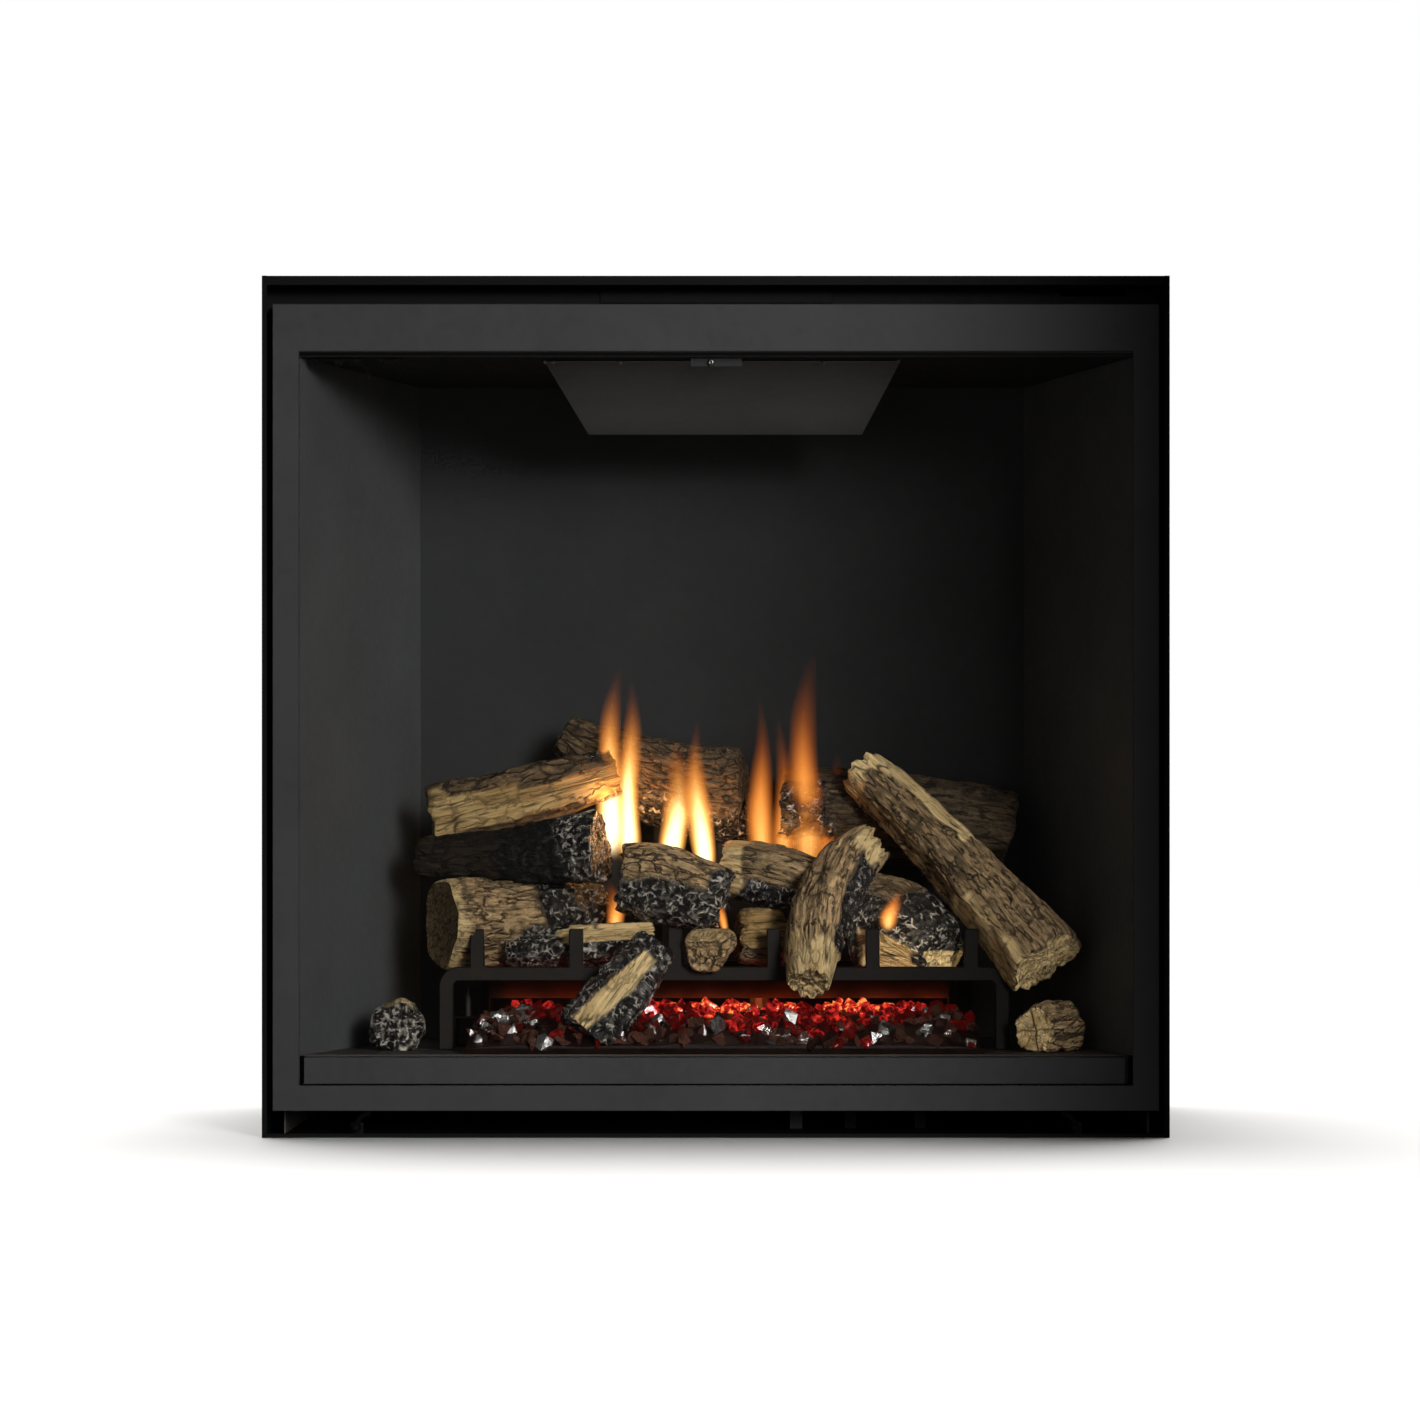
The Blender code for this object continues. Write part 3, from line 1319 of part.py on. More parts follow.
def igniter():
    """The igniter's barrel with its nut, on a folded foot, bored for the button."""
    centre = (IGNITER_PLACE, deep(IGNITER_START), KNOB_LEVEL)
    nut = IGNITER_NUT_LENGTH
    profile = (
        (0, 0),
        (IGNITER_NUT, 0),
        (IGNITER_NUT, nut),
        (IGNITER_RADIUS, nut),
        (IGNITER_RADIUS, IGNITER_LENGTH),
        (0, IGNITER_LENGTH),
    )
    body = add("igniter", turned(profile, centre, "y", ROUND_SIDES), black_plastic())
    half = IGNITER_FOOT / 2
    foot_front = IGNITER_START + nut * 2
    join(body, block(
        IGNITER_PLACE - half, IGNITER_PLACE + half, foot_front, foot_front + nut, ON_BASE, KNOB_LEVEL - BUTTON_RADIUS
    ))
    bore = BUTTON_STEM + BUTTON_TRAVEL + CLEARANCE
    cut(body, rod(BUTTON_RADIUS + CLEARANCE, centre, "y", -OVERRUN, bore, ROUND_SIDES))


def igniter_button():
    cap_back = -BUTTON_TRAVEL - CLEARANCE
    cap_front = cap_back - BUTTON_CAP
    profile = (
        (0, cap_front),
        (BUTTON_CAP_RADIUS - BUTTON_CAP / 4, cap_front),
        (BUTTON_CAP_RADIUS, cap_front + BUTTON_CAP / 4),
        (BUTTON_CAP_RADIUS, cap_back),
        (BUTTON_RADIUS, cap_back),
        (BUTTON_RADIUS, BUTTON_STEM),
        (0, BUTTON_STEM),
    )
    centre = (IGNITER_PLACE, deep(IGNITER_START), KNOB_LEVEL)
    add("igniter_button", turned(profile, centre, "y", ROUND_SIDES), red_plastic(), centre)


def gas_line():
    """The pipe from the valve to the hole in the casing's side, with its union nut at the end."""
    end = CASING_WIDTH / 2 - CASING_SHEET
    nut = SHELL_WIDTH / 2 + CLEARANCE
    profile = (
        (0, GAS_LINE_START),
        (GAS_LINE_RADIUS, GAS_LINE_START),
        (GAS_LINE_RADIUS, nut),
        (GAS_NUT_RADIUS, nut),
        (GAS_NUT_RADIUS, end),
        (0, end),
    )
    centre = (0, deep(GAS_LINE_DEPTH), KNOB_LEVEL)
    add("gas_line", turned(profile, centre, "x", SMALL_SIDES), brass())


# Logs


def log_place(shares):
    across, back, up = shares
    return Vector(
        (
            GRATE_OFFSET + across * GRATE_WIDTH / 2,
            deep(GRATE_START + back * GRATE_LENGTH),
            FLOOR_HEIGHT + up * GRATE_HEIGHT,
        )
    )


def log_ring(centre, ahead, facing, girth, splits, seed, along):
    """The points round a log at one place: round with a few lobes, and flat where it was split."""
    up = Vector((0, 0, 1))
    up = (up - ahead * up.dot(ahead)).normalized()
    front = ahead.cross(up) * facing
    points = []
    for i in range(LOG_SIDES):
        angle = math.tau * i / LOG_SIDES
        lobes = math.sin(3 * angle + seed) + math.sin(5 * angle + 2 * seed)
        rough = noise.noise(Vector((math.cos(angle), math.sin(angle), along * 4 + seed * 10)))
        radius = girth * (1 + LOG_LOBE_SHARE * lobes + LOG_ROUGH_SHARE * rough)
        for degrees, share in splits:
            facing = math.cos(angle - math.radians(degrees))
            if facing > 0:
                radius = min(radius, girth * share / facing)
        points.append(centre + front * radius * math.cos(angle) + up * radius * math.sin(angle))
    return points


def log_mesh(places, girths, splits, seed):
    """A slightly bent log between broken ends, closed by a fan at each end."""
    start, middle, end = places
    bend = 2 * middle - (start + end) / 2
    facing = 1 if end.x > start.x else -1
    bm = bmesh.new()
    rings = []
    for i in range(LOG_RINGS):
        along = i / (LOG_RINGS - 1)
        left = 1 - along
        centre = start * left * left + bend * 2 * left * along + end * along * along
        ahead = ((bend - start) * left + (end - bend) * along).normalized()
        first, half, last = girths
        girth = first * left * (1 - 2 * along) + half * 4 * left * along + last * along * (2 * along - 1)
        if i in (0, LOG_RINGS - 1):
            girth *= LOG_RIM_SHARE
        ring = log_ring(centre, ahead, facing, girth, splits, seed, along)
        if i in (0, LOG_RINGS - 1):
            ring = [
                point + ahead * girth * LOG_BREAK_SHARE * noise.noise(point / girth + Vector((seed, 0, 0)))
                for point in ring
            ]
        rings.append([bm.verts.new(point) for point in ring])
    for ring, after in zip(rings, rings[1:]):
        for i in range(LOG_SIDES):
            bm.faces.new((ring[i - 1], ring[i], after[i], after[i - 1]))
    for ring in (rings[0], rings[-1]):
        middle_point = sum((vert.co for vert in ring), Vector()) / LOG_SIDES
        tip = bm.verts.new(middle_point)
        for i in range(LOG_SIDES):
            bm.faces.new((ring[i - 1], ring[i], tip))
    bmesh.ops.triangulate(bm, faces=bm.faces)
    return bm


def box_of(obj):
    corners = [vert.co for vert in obj.data.vertices]
    low = [min(corner[axis] for corner in corners) for axis in range(3)]
    high = [max(corner[axis] for corner in corners) for axis in range(3)]
    return low, high


def applied(obj):
    """The piece with its modifiers made part of its mesh."""
    graph = bpy.context.evaluated_depsgraph_get()
    mesh = bpy.data.meshes.new_from_object(obj.evaluated_get(graph))
    obj.modifiers.clear()
    obj.data = mesh
    return obj


def boxes_meet(one, other):
    (low, high), (low_b, high_b) = box_of(one), box_of(other)
    return all(low[axis] < high_b[axis] and low_b[axis] < high[axis] for axis in range(3))


def floor_cutter():
    half = SHELL_WIDTH / 2
    return block(-half, half, FLOOR_START, SHELL_BACK, 0, ON_FLOOR)


def logs(carriers):
    """Each log is moulded to what it lies on: the floor, the grate and the logs made before it."""
    made = []
    for seed, (name, shares, girth_shares, splits) in enumerate(LOG_SHARES, start=1):
        places = [log_place(share) for share in shares]
        girths = [share * LOG_RADIUS for share in girth_shares]
        log = add(name, log_mesh(places, girths, splits, seed), char() if name in CHARRED else bark())
        if box_of(log)[0][2] < ON_FLOOR:
            cut(log, floor_cutter())
        for neighbour in carriers + made:
            if boxes_meet(log, neighbour):
                cut(log, swollen(neighbour, LOG_GAP))
        made.append(log)
    return made


def main():
    clear_scene()
    casing_base()
    casing_sides()
    casing_back()
    casing_top()
    header_panel()
    header_plate()
    firebox_floor()
    firebox_walls()
    firebox_back_wall()
    firebox_ceiling()
    front_lip()
    face_frame()
    flue_box()
    collars()
    flue_restrictor()
    exhaust_baffle()
    baffle_bracket()
    ceiling_clip()
    front()
    latch("latch_left", -1)
    latch("latch_right", 1)
    burner_tray()
    burner_tube()
    air_shutter()
    gas_orifice()
    pilot_bracket()
    probes()
    tray = ember_tray()
    bed = ember_bed()
    ember_light()
    gas_valve()
    for name, place in zip(("gas_knob", "flame_knob"), knob_places()):
        knob(name, place)
    igniter()
    igniter_button()
    gas_line()
    logs([applied(grate_front()), applied(grate_rear()), tray])
    leaning = bpy.data.objects["log_charred_leaning"]
    cut(bed, swollen(leaning, LOG_GAP))


main()
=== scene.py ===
"""A gas fireplace with a ceramic fibre log set, dressed for rendering.

The file is laid out as an add-on and run as a script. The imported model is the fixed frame: its
metal, glass and plastic pieces keep their solids and get their finishes here. The logs are made
again in full detail over their solids, chips are heaped on the solid bed of crushed glass, and the
fire is added.
"""

import functools
import itertools
import json
import math
import random
from types import SimpleNamespace

import bmesh
import bpy
import numpy as np
from bpy.props import FloatProperty, FloatVectorProperty, IntProperty, PointerProperty
from mathutils import Euler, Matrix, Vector, noise

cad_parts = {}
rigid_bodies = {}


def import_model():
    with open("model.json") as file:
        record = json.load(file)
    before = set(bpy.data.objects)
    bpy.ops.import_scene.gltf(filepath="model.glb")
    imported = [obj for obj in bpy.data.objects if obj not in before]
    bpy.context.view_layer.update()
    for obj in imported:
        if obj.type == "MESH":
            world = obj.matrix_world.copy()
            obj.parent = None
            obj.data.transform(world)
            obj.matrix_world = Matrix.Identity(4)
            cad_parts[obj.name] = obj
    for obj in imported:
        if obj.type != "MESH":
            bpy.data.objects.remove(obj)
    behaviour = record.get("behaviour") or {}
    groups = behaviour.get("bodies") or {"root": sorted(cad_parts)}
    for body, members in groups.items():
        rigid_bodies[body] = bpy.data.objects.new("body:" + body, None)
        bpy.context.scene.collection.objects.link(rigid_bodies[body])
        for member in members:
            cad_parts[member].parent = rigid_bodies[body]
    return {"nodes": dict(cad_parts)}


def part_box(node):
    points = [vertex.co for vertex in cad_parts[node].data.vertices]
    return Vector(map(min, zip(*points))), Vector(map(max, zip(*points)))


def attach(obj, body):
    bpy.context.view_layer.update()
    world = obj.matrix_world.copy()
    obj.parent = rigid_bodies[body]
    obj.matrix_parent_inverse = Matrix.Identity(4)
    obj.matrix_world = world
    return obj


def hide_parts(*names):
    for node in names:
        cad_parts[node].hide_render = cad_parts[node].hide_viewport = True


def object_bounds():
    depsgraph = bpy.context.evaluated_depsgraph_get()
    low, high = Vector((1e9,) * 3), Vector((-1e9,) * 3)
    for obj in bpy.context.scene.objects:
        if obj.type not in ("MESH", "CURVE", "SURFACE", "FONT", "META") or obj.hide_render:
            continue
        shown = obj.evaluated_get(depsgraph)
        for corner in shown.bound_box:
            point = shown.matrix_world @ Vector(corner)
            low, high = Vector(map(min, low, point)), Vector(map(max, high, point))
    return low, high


bl_info = {
    "name": "Gas fireplace",
    "version": (1, 0, 0),
    "blender": (4, 5, 0),
    "location": "3D View > Sidebar > Fireplace",
    "description": "Finishes, log set, crushed glass, flames and stage of a gas fireplace",
    "category": "Object",
}

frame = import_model()
CAD_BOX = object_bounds()
NODES = frame["nodes"]
MM = 0.001
FRONT = CAD_BOX[0][1]


def linear(colour):
    """An sRGB hex colour as linear red, green and blue."""
    shares = (int(colour[i : i + 2], 16) / 255 for i in (1, 3, 5))
    return tuple(v / 12.92 if v <= 0.04045 else ((v + 0.055) / 1.055) ** 2.4 for v in shares)


# Settings


def colour_setting(name, description, colour):
    return FloatVectorProperty(
        name=name, description=description, subtype="COLOR", size=3, min=0, max=1, default=linear(colour)
    )


class PaintSettings(bpy.types.PropertyGroup):
    """Colours of the painted steel."""

    frame: colour_setting("Front frame", "Satin charcoal paint on the frame and the front lip", "#3e3e3f")
    casing: colour_setting("Casing", "Black powder coat on the casing", "#0f0f11")
    firebox: colour_setting("Firebox", "Matt high-heat paint inside the firebox", "#555656")
    grate: colour_setting("Grate", "High-heat paint on the grate's bars", "#211b16")


class LogSettings(bpy.types.PropertyGroup):
    """Colours and sizes of the ceramic fibre logs."""

    bark: colour_setting("Bark", "Painted bark, before each log's own shade", "#766144")
    wood: colour_setting("Split wood", "Tan faces where a log is split or broken", "#dcc08a")
    char: colour_setting("Char", "Charred parts", "#151312")
    # The ash colour is partly painted highlights on the char's crests.
    ash: colour_setting("Ash", "Silvery crests on the charred parts", "#cdc3b4")
    furrow: FloatProperty(name="Furrow depth", description="Depth of the bark's furrows", unit="LENGTH",
                          default=3.4 * MM, min=0)
    step: FloatProperty(name="Mesh step", description="Distance between points on a log", unit="LENGTH",
                        default=2.1 * MM, min=1 * MM)


class FireSettings(bpy.types.PropertyGroup):
    """The flames, the crushed glass and its light."""

    brightness: FloatProperty(name="Flames", description="Brightness of the flames", default=3.4, min=0)
    glow: FloatProperty(name="Ember glow", description="Brightness of the lit glass", default=1.1, min=0)
    chips: IntProperty(name="Chips", description="Pieces of crushed glass", default=430, min=0)
    chip: FloatProperty(name="Chip size", description="Usual width of a piece of glass", unit="LENGTH",
                        default=23 * MM, min=2 * MM)


class StageSettings(bpy.types.PropertyGroup):
    """Floor and lights."""

    floor: colour_setting("Floor", "Plain pale floor", "#f4f3f1")
    key: FloatProperty(name="Key light", description="Power of the softbox, in watts", default=4.1, min=0)
    top: FloatProperty(name="Top light", description="Strength of the light from above", default=3.9, min=0)
    sky: FloatProperty(name="Room light", description="Strength of the light from all round", default=0.045,
                       min=0)


SETTINGS = {
    "fireplace_paint": PaintSettings,
    "fireplace_logs": LogSettings,
    "fireplace_fire": FireSettings,
    "fireplace_stage": StageSettings,
}


# Materials


def shade(colour, factors):
    """A shade or tint of a colour. Factors is one number, or one for each of red, green and blue."""
    return tuple(np.minimum(1, np.multiply(colour, factors)))


def rgba(colour):
    """A colour as a socket takes it, from hex or from linear red, green and blue."""
    return (*(linear(colour) if isinstance(colour, str) else colour), 1.0)


def add_node(tree, kind, inputs=(), output=0, ramp=(), **settings):
    """Adds a node with its settings, and gives one of its outputs.

    Inputs go by number or by name. Each is a value, or another node's output to link. A ramp is
    pairs of a place and a colour.
    """
    node = tree.nodes.new("ShaderNode" + kind)
    for setting, value in settings.items():
        setattr(node, setting, value)
    for key, value in inputs.items() if isinstance(inputs, dict) else enumerate(inputs):
        socket = node.inputs[key]
        if isinstance(value, bpy.types.NodeSocket):
            tree.links.new(value, socket)
        else:
            socket.default_value = rgba(value) if socket.type == "RGBA" else value
    if ramp:
        elements = node.color_ramp.elements
        while len(elements) < len(ramp):
            elements.new(1.0)
        for element, (place, colour) in zip(elements, ramp):
            element.position, element.color = place, rgba(colour)
    return node.outputs[output] if node.outputs else None


# Settings that Math and Mix nodes share. A Mix of colours takes its share at input 0 and the colours
# at 6 and 7, and gives output 2.
TIMES, LESS, PLUS, LARGER = (
    {"operation": word} for word in ("MULTIPLY", "SUBTRACT", "ADD", "MAXIMUM")
)
OVER = {"output": 2, "data_type": "RGBA"}
TINTED = {**OVER, "blend_type": "MULTIPLY"}


def new_material(name):
    """A new material, and a function that adds a node to its empty tree."""
    material = bpy.data.materials.new(name)
    material.use_nodes = True
    material.node_tree.nodes.clear()
    return material, functools.partial(add_node, material.node_tree)


def surfaced(material, inputs):
    """Ends a material's tree in one shader with these inputs."""
    shader = add_node(material.node_tree, "BsdfPrincipled", inputs)
    add_node(material.node_tree, "OutputMaterial", {"Surface": shader})
    return material


def painted_steel(name, colour, roughness, shine, grit=2.4 * MM):
    """Sprayed paint on sheet steel: a faint cloudiness across a panel and a fine orange peel.

    Real orange peel is 1 to 2 mm across. It is drawn at 2.4 mm or more, so that it shows.
    """
    material, node = new_material(name)
    place = node("TexCoord", output="Object")
    clouds = node("TexNoise", {"Vector": place, "Scale": 1 / 0.14, "Detail": 4.0, "Roughness": 0.6})
    dust = node("TexNoise", {"Vector": place, "Scale": 1 / (9 * MM), "Detail": 6.0})
    peel = node("TexNoise", {"Vector": place, "Scale": 1 / grit, "Detail": 2.0})
    dark, light = shade(colour, 0.86), shade(colour, 1.1)
    return surfaced(material, {
        "Base Color": node("ValToRGB", [clouds], ramp=((0.3, dark), (0.7, light))),
        "Roughness": node("MapRange", (dust, 0.3, 0.7, roughness - 0.05, roughness + 0.07)),
        "Normal": node("Bump", {"Height": peel, "Distance": 0.05 * MM, "Strength": 0.6}),
        "Specular IOR Level": shine,
    })


def galvanised_sheet():
    """Hot-dip zinc on steel: pale metal with crystal spangle, each crystal 6 to 14 mm across."""
    material, node = new_material("hot_dip_galvanised_steel")
    place = node("TexCoord", output="Object")
    spangle = node("TexVoronoi", {"Vector": place, "Scale": 1 / (10 * MM), "Randomness": 1.0}, "Color")
    depth = spangle.node.outputs["Distance"]
    return surfaced(material, {
        "Base Color": node("ValToRGB", [spangle], ramp=((0.1, "#74787b"), (0.9, "#9da1a3"))),
        "Roughness": node("MapRange", (spangle, 0.0, 1.0, 0.32, 0.5)),
        "Normal": node("Bump", {"Height": depth, "Distance": 0.05 * MM, "Strength": 0.3}),
        "Metallic": 1.0,
    })


def worked_metal(name, low, high, roughness, stretch=(1.0, 1.0, 12.0), pitch=1.6 * MM):
    """Metal with the fine lines of rolling, turning or brushing, and a little heat tint.

    Real brush lines are about 0.1 mm apart. They are drawn 1.6 mm apart or more, so that they show.
    """
    material, node = new_material(name)
    place = node("TexCoord", output="Object")
    drawn_out = node("Mapping", {"Vector": place, "Scale": tuple(1 / s for s in stretch)})
    lines = node("TexNoise", {"Vector": drawn_out, "Scale": 1 / pitch, "Detail": 5.0})
    clouds = node("TexNoise", {"Vector": place, "Scale": 1 / (35 * MM), "Detail": 3.0})
    return surfaced(material, {
        "Base Color": node("ValToRGB", [clouds], ramp=((0.3, low), (0.7, high))),
        "Roughness": node("MapRange", (lines, 0.3, 0.7, roughness - 0.08, roughness + 0.1)),
        "Normal": node("Bump", {"Height": lines, "Distance": 0.03 * MM, "Strength": 0.5}),
        "Metallic": 1.0,
    })


def grate_steel(colour):
    """Square steel bar under high-heat paint: matt brown-black, with mill scale and fine pits."""
    material, node = new_material("painted_square_steel_bar")
    place = node("TexCoord", output="Object")
    scale = node("TexNoise", {"Vector": place, "Scale": 1 / (14 * MM), "Detail": 7.0, "Roughness": 0.65})
    pits = node("TexNoise", {"Vector": place, "Scale": 1 / (2.2 * MM), "Detail": 3.0})
    dark, light = shade(colour, 0.7), shade(colour, 1.35)
    return surfaced(material, {
        "Base Color": node("ValToRGB", [scale], ramp=((0.3, dark), (0.75, light))),
        "Roughness": node("MapRange", (scale, 0.0, 1.0, 0.42, 0.68)),
        "Normal": node("Bump", {"Height": pits, "Distance": 0.2 * MM, "Strength": 0.5}),
        "Metallic": 0.1, "Specular IOR Level": 0.25,
    })


def coated_glass():
    """Glass ceramic with an anti-reflective coating: almost nothing is seen but a faint smoky film."""
    material, node = new_material("coated_glass_ceramic")
    place = node("TexCoord", output="Object")
    film = node("TexNoise", {"Vector": place, "Scale": 1 / 0.25, "Detail": 3.0})
    return surfaced(material, {
        "Base Color": node("ValToRGB", [film], ramp=((0.3, "#1c1a18"), (0.7, "#242220"))),
        "Roughness": node("MapRange", (film, 0.0, 1.0, 0.02, 0.07)),
        "Alpha": 0.04, "IOR": 1.5,
    })


def woven_tape():
    """Woven glass fibre tape: off-white yarns, over and under.

    Real yarns are 2 to 3 mm apart. They are drawn 6 mm apart, so that they show. A wave texture has
    about 3.2 waves to a unit, so its unit is 18.84 mm.
    """
    unit = 18.84 * MM
    material, node = new_material("woven_glass_fibre_tape")
    place = node("TexCoord", output="Object")
    across, along = (
        node("TexWave", {"Vector": place, "Scale": 1 / unit, "Distortion": 1.0}, "Fac", bands_direction=way)
        for way in "XZ"
    )
    yarns = node("Math", (across, along), **TIMES)
    return surfaced(material, {
        "Base Color": node("ValToRGB", [yarns], ramp=((0.0, "#5c5954"), (0.8, "#b5b1a8"))),
        "Normal": node("Bump", {"Height": yarns, "Distance": 0.6 * MM}),
        "Roughness": 0.9, "Sheen Weight": 0.2,
    })


def moulded_plastic(name, colour, roughness):
    """Injection-moulded plastic: an even colour with a fine spark-eroded grain.

    The real grain is 0.2 to 0.5 mm. It is drawn at 0.8 mm, so that it shows close up.
    """
    material, node = new_material(name)
    place = node("TexCoord", output="Object")
    grain = node("TexNoise", {"Vector": place, "Scale": 1 / (0.8 * MM), "Detail": 2.0})
    wear = node("TexNoise", {"Vector": place, "Scale": 1 / (12 * MM), "Detail": 4.0})
    dark, light = shade(linear(colour), 0.85), shade(linear(colour), 1.12)
    return surfaced(material, {
        "Base Color": node("ValToRGB", [wear], ramp=((0.3, dark), (0.7, light))),
        "Normal": node("Bump", {"Height": grain, "Distance": 0.06 * MM, "Strength": 0.5}),
        "Roughness": roughness, "IOR": 1.53,
    })


def glazed_ceramic():
    """Glazed alumina: a smooth insulator, made near black as painted shade where it sits in the dark below
    the logs.
    """
    material, node = new_material("glazed_alumina_ceramic")
    place = node("TexCoord", output="Object")
    soot = node("TexNoise", {"Vector": place, "Scale": 1 / (5 * MM), "Detail": 2.0})
    return surfaced(material, {
        "Base Color": node("ValToRGB", [soot], ramp=((0.3, "#0f0c0a"), (0.7, "#211c18"))),
        "Roughness": 0.7, "IOR": 1.6,
    })


def fibre_log(paint):
    """Cast ceramic fibre, painted by hand: brown bark, tan split wood, and char with silvery crests, which
    are partly painted highlights.

    The mesh carries where each is. wood and char are shares of each, groove is painted shade that darkens
    furrows and cracks, crest is a painted highlight that lightens the ridges, and shade, pale and sheen set
    each log's tones of bark, of wood and of char: partly the log's own colour, partly painted light and
    shade for how it is lit. flow runs along the log, in metres.
    """
    material, node = new_material("painted_ceramic_fibre_log")
    flow = node("Attribute", output="Vector", attribute_name="flow")
    wood, char, groove, crest, tone_and_shade, pale, sheen = (
        node("Attribute", output="Fac", attribute_name=name)
        for name in ("wood", "char", "groove", "crest", "shade", "pale", "sheen")
    )
    blotches, sway, patches, streaks, fleck_highlights, grain, wash, worms, glints, grit = (
        node("TexNoise", {
            "Vector": node("Mapping", {"Vector": flow, "Scale": (1.0, 1.0, 1 / stretch)}),
            "Scale": 1 / (size * MM), "Detail": detail, "Roughness": roughness, "Distortion": distortion,
        })
        for size, stretch, detail, roughness, distortion in (
            (24, 2.0, 8.0, 0.72, 0.0),  # blotches of paint, dabbed on the bark
            (9, 1.0, 3.0, 0.5, 0.0),  # sway of the edges of plates and scales
            (13, 1.5, 3.0, 0.5, 0.0),  # patches where the bark is fissured
            (3.2, 7.0, 6.0, 0.7, 0.0),  # streaks of a darker wash along the bark
            (2.8, 2.5, 3.0, 0.5, 0.0),  # flecks of pale paint on the bark, as painted highlights
            (2.4, 26.0, 5.0, 0.6, 0.0),  # wood grain, with lines 2 to 3 mm apart
            (20, 3.0, 5.0, 0.65, 0.0),  # washes of brown over the wood
            (16, 1.0, 0.5, 0.5, 1.4),  # long ridges that wind over the char
            (8, 1.0, 2.0, 0.5, 0.0),  # patches where the char's ridges are silver, as painted highlights
            (1.3, 1.0, 3.0, 0.65, 0.0),  # grit of the cast surface, coarser than the real one
        )
    )
    swayed = node("VectorMath", (flow, node("VectorMath", {0: sway, 3: 7 * MM}, operation="SCALE")), **PLUS)
    # Bark is cracked into plates 7 mm wide and 40 mm long, and char into scales 11 mm across.
    plates = node("Mapping", {"Vector": swayed, "Scale": (1.0, 1.0, 0.19)})
    plate_edges, scale_edges = (
        node("TexVoronoi", {"Vector": place, "Scale": 1 / size, "Randomness": 1.0}, "Distance",
             feature="DISTANCE_TO_EDGE")
        for place, size in ((plates, 7.5 * MM), (swayed, 11 * MM))
    )
    fissure = node("MapRange", (plate_edges, 0.02, 0.12, 1.0, 0.0))
    fissure = node("Math", (fissure, node("MapRange", (patches, 0.42, 0.51))), **TIMES)
    bark = node("ValToRGB", [blotches], ramp=(
        (0.3, shade(paint.bark, 0.85)), (0.52, shade(paint.bark, 1.25)), (0.74, shade(paint.bark, 1.75)),
    ))
    bark = node("Mix", {0: 1.0, 6: bark, 7: node("MapRange", (streaks, 0.38, 0.6, 0.42, 1.35))}, **TINTED)
    # Pale flecks on the bark: painted highlights.
    fleck_highlights = node("Math", (node("MapRange", (fleck_highlights, 0.6, 0.66)), 0.5), **TIMES)
    bark = node("Mix", {0: fleck_highlights, 6: bark, 7: shade(paint.bark, 2.7)}, **OVER)
    # Each log's bark tone, which is partly painted light and shade.
    bark = node("Mix", {0: 1.0, 6: bark, 7: tone_and_shade}, **TINTED)
    tan = node("ValToRGB", [grain], ramp=(
        (0.3, shade(paint.wood, (0.55, 0.47, 0.36))), (0.5, paint.wood), (0.72, shade(paint.wood, 1.15)),
    ))
    wash = node("MapRange", (wash, 0.45, 0.72, 0.0, 0.75))
    tan = node("Mix", {0: wash, 6: tan, 7: shade(paint.wood, (0.5, 0.4, 0.28))}, **OVER)
    # Wood with a deeper tone is also warmer.
    depth = node("Math", (2.1, node("Math", (pale, 1.1), **TIMES)), **LESS)
    tan = node("Gamma", {"Color": tan, "Gamma": node("Math", (1.0, depth), **LARGER)})
    # Each log's wood tone, which is partly painted light.
    tan = node("Mix", {0: 1.0, 6: tan, 7: pale}, **TINTED)
    # Painted shade: the edges of bark plates, the furrows and the cracks are darkened to near black.
    cut_line = node("Math", (fissure, node("MapRange", (wood, 0.0, 1.0, 1.0, 0.6))), **TIMES)
    groove = node("Math", (groove, node("Math", (cut_line, 0.85), **TIMES)), **LARGER)
    sound = node("Mix", {0: wood, 6: bark, 7: tan}, **OVER)
    sound = node("Mix", {0: groove, 6: sound, 7: "#140c06"}, **OVER)
    # Char is near black, with silver-grey paint on its ridges: partly the logs' own ash paint, partly
    # painted highlights. Where sheen is low, the char is darkened further as painted shade.
    off_line = node("Math", [node("Math", (worms, 0.5), **LESS)], operation="ABSOLUTE")
    worms = node("MapRange", (off_line, 0.006, 0.03, 1.0, 0.0))
    ridge = node("Math", (node("MapRange", (scale_edges, 0.03, 0.11, 1.0, 0.0)), worms), **LARGER)
    silver = node("Math", (ridge, node("MapRange", (glints, 0.5, 0.6, 0.02, 0.85))), **TIMES)
    silver = node("Math", (silver, node("Math", (crest, 0.13), **TIMES)), **LARGER)
    silver = node("Math", (silver, sheen), **TIMES)
    coal = node("Mix", {0: 1.0, 6: paint.char, 7: node("MapRange", (sheen, 0.0, 1.0, 0.3, 1.0))}, **TINTED)
    coal = node("Mix", {0: silver, 6: coal, 7: paint.ash}, **OVER)
    wrinkled = node("Math", (char, node("Math", (1.0, sheen), operation="MINIMUM")), **TIMES)
    height = node("Math", (node("Math", (grit, 0.3), **TIMES), node("Math", (grain, 0.7), **TIMES)), **PLUS)
    height = node("Math", (height, node("Math", (cut_line, 0.9), **TIMES)), **LESS)
    height = node("Math", (height, node("Math", (ridge, wrinkled), **TIMES)), **PLUS)
    return surfaced(material, {
        "Base Color": node("Mix", {0: char, 6: sound, 7: coal}, **OVER),
        "Roughness": node("MapRange", (wrinkled, 0.0, 1.0, 0.7, 0.2)),
        "Specular IOR Level": node("MapRange", (wrinkled, 0.0, 1.0, 0.3, 0.6)),
        "Normal": node("Bump", {"Height": height, "Distance": 2.6 * MM, "Strength": 1.0}),
    })


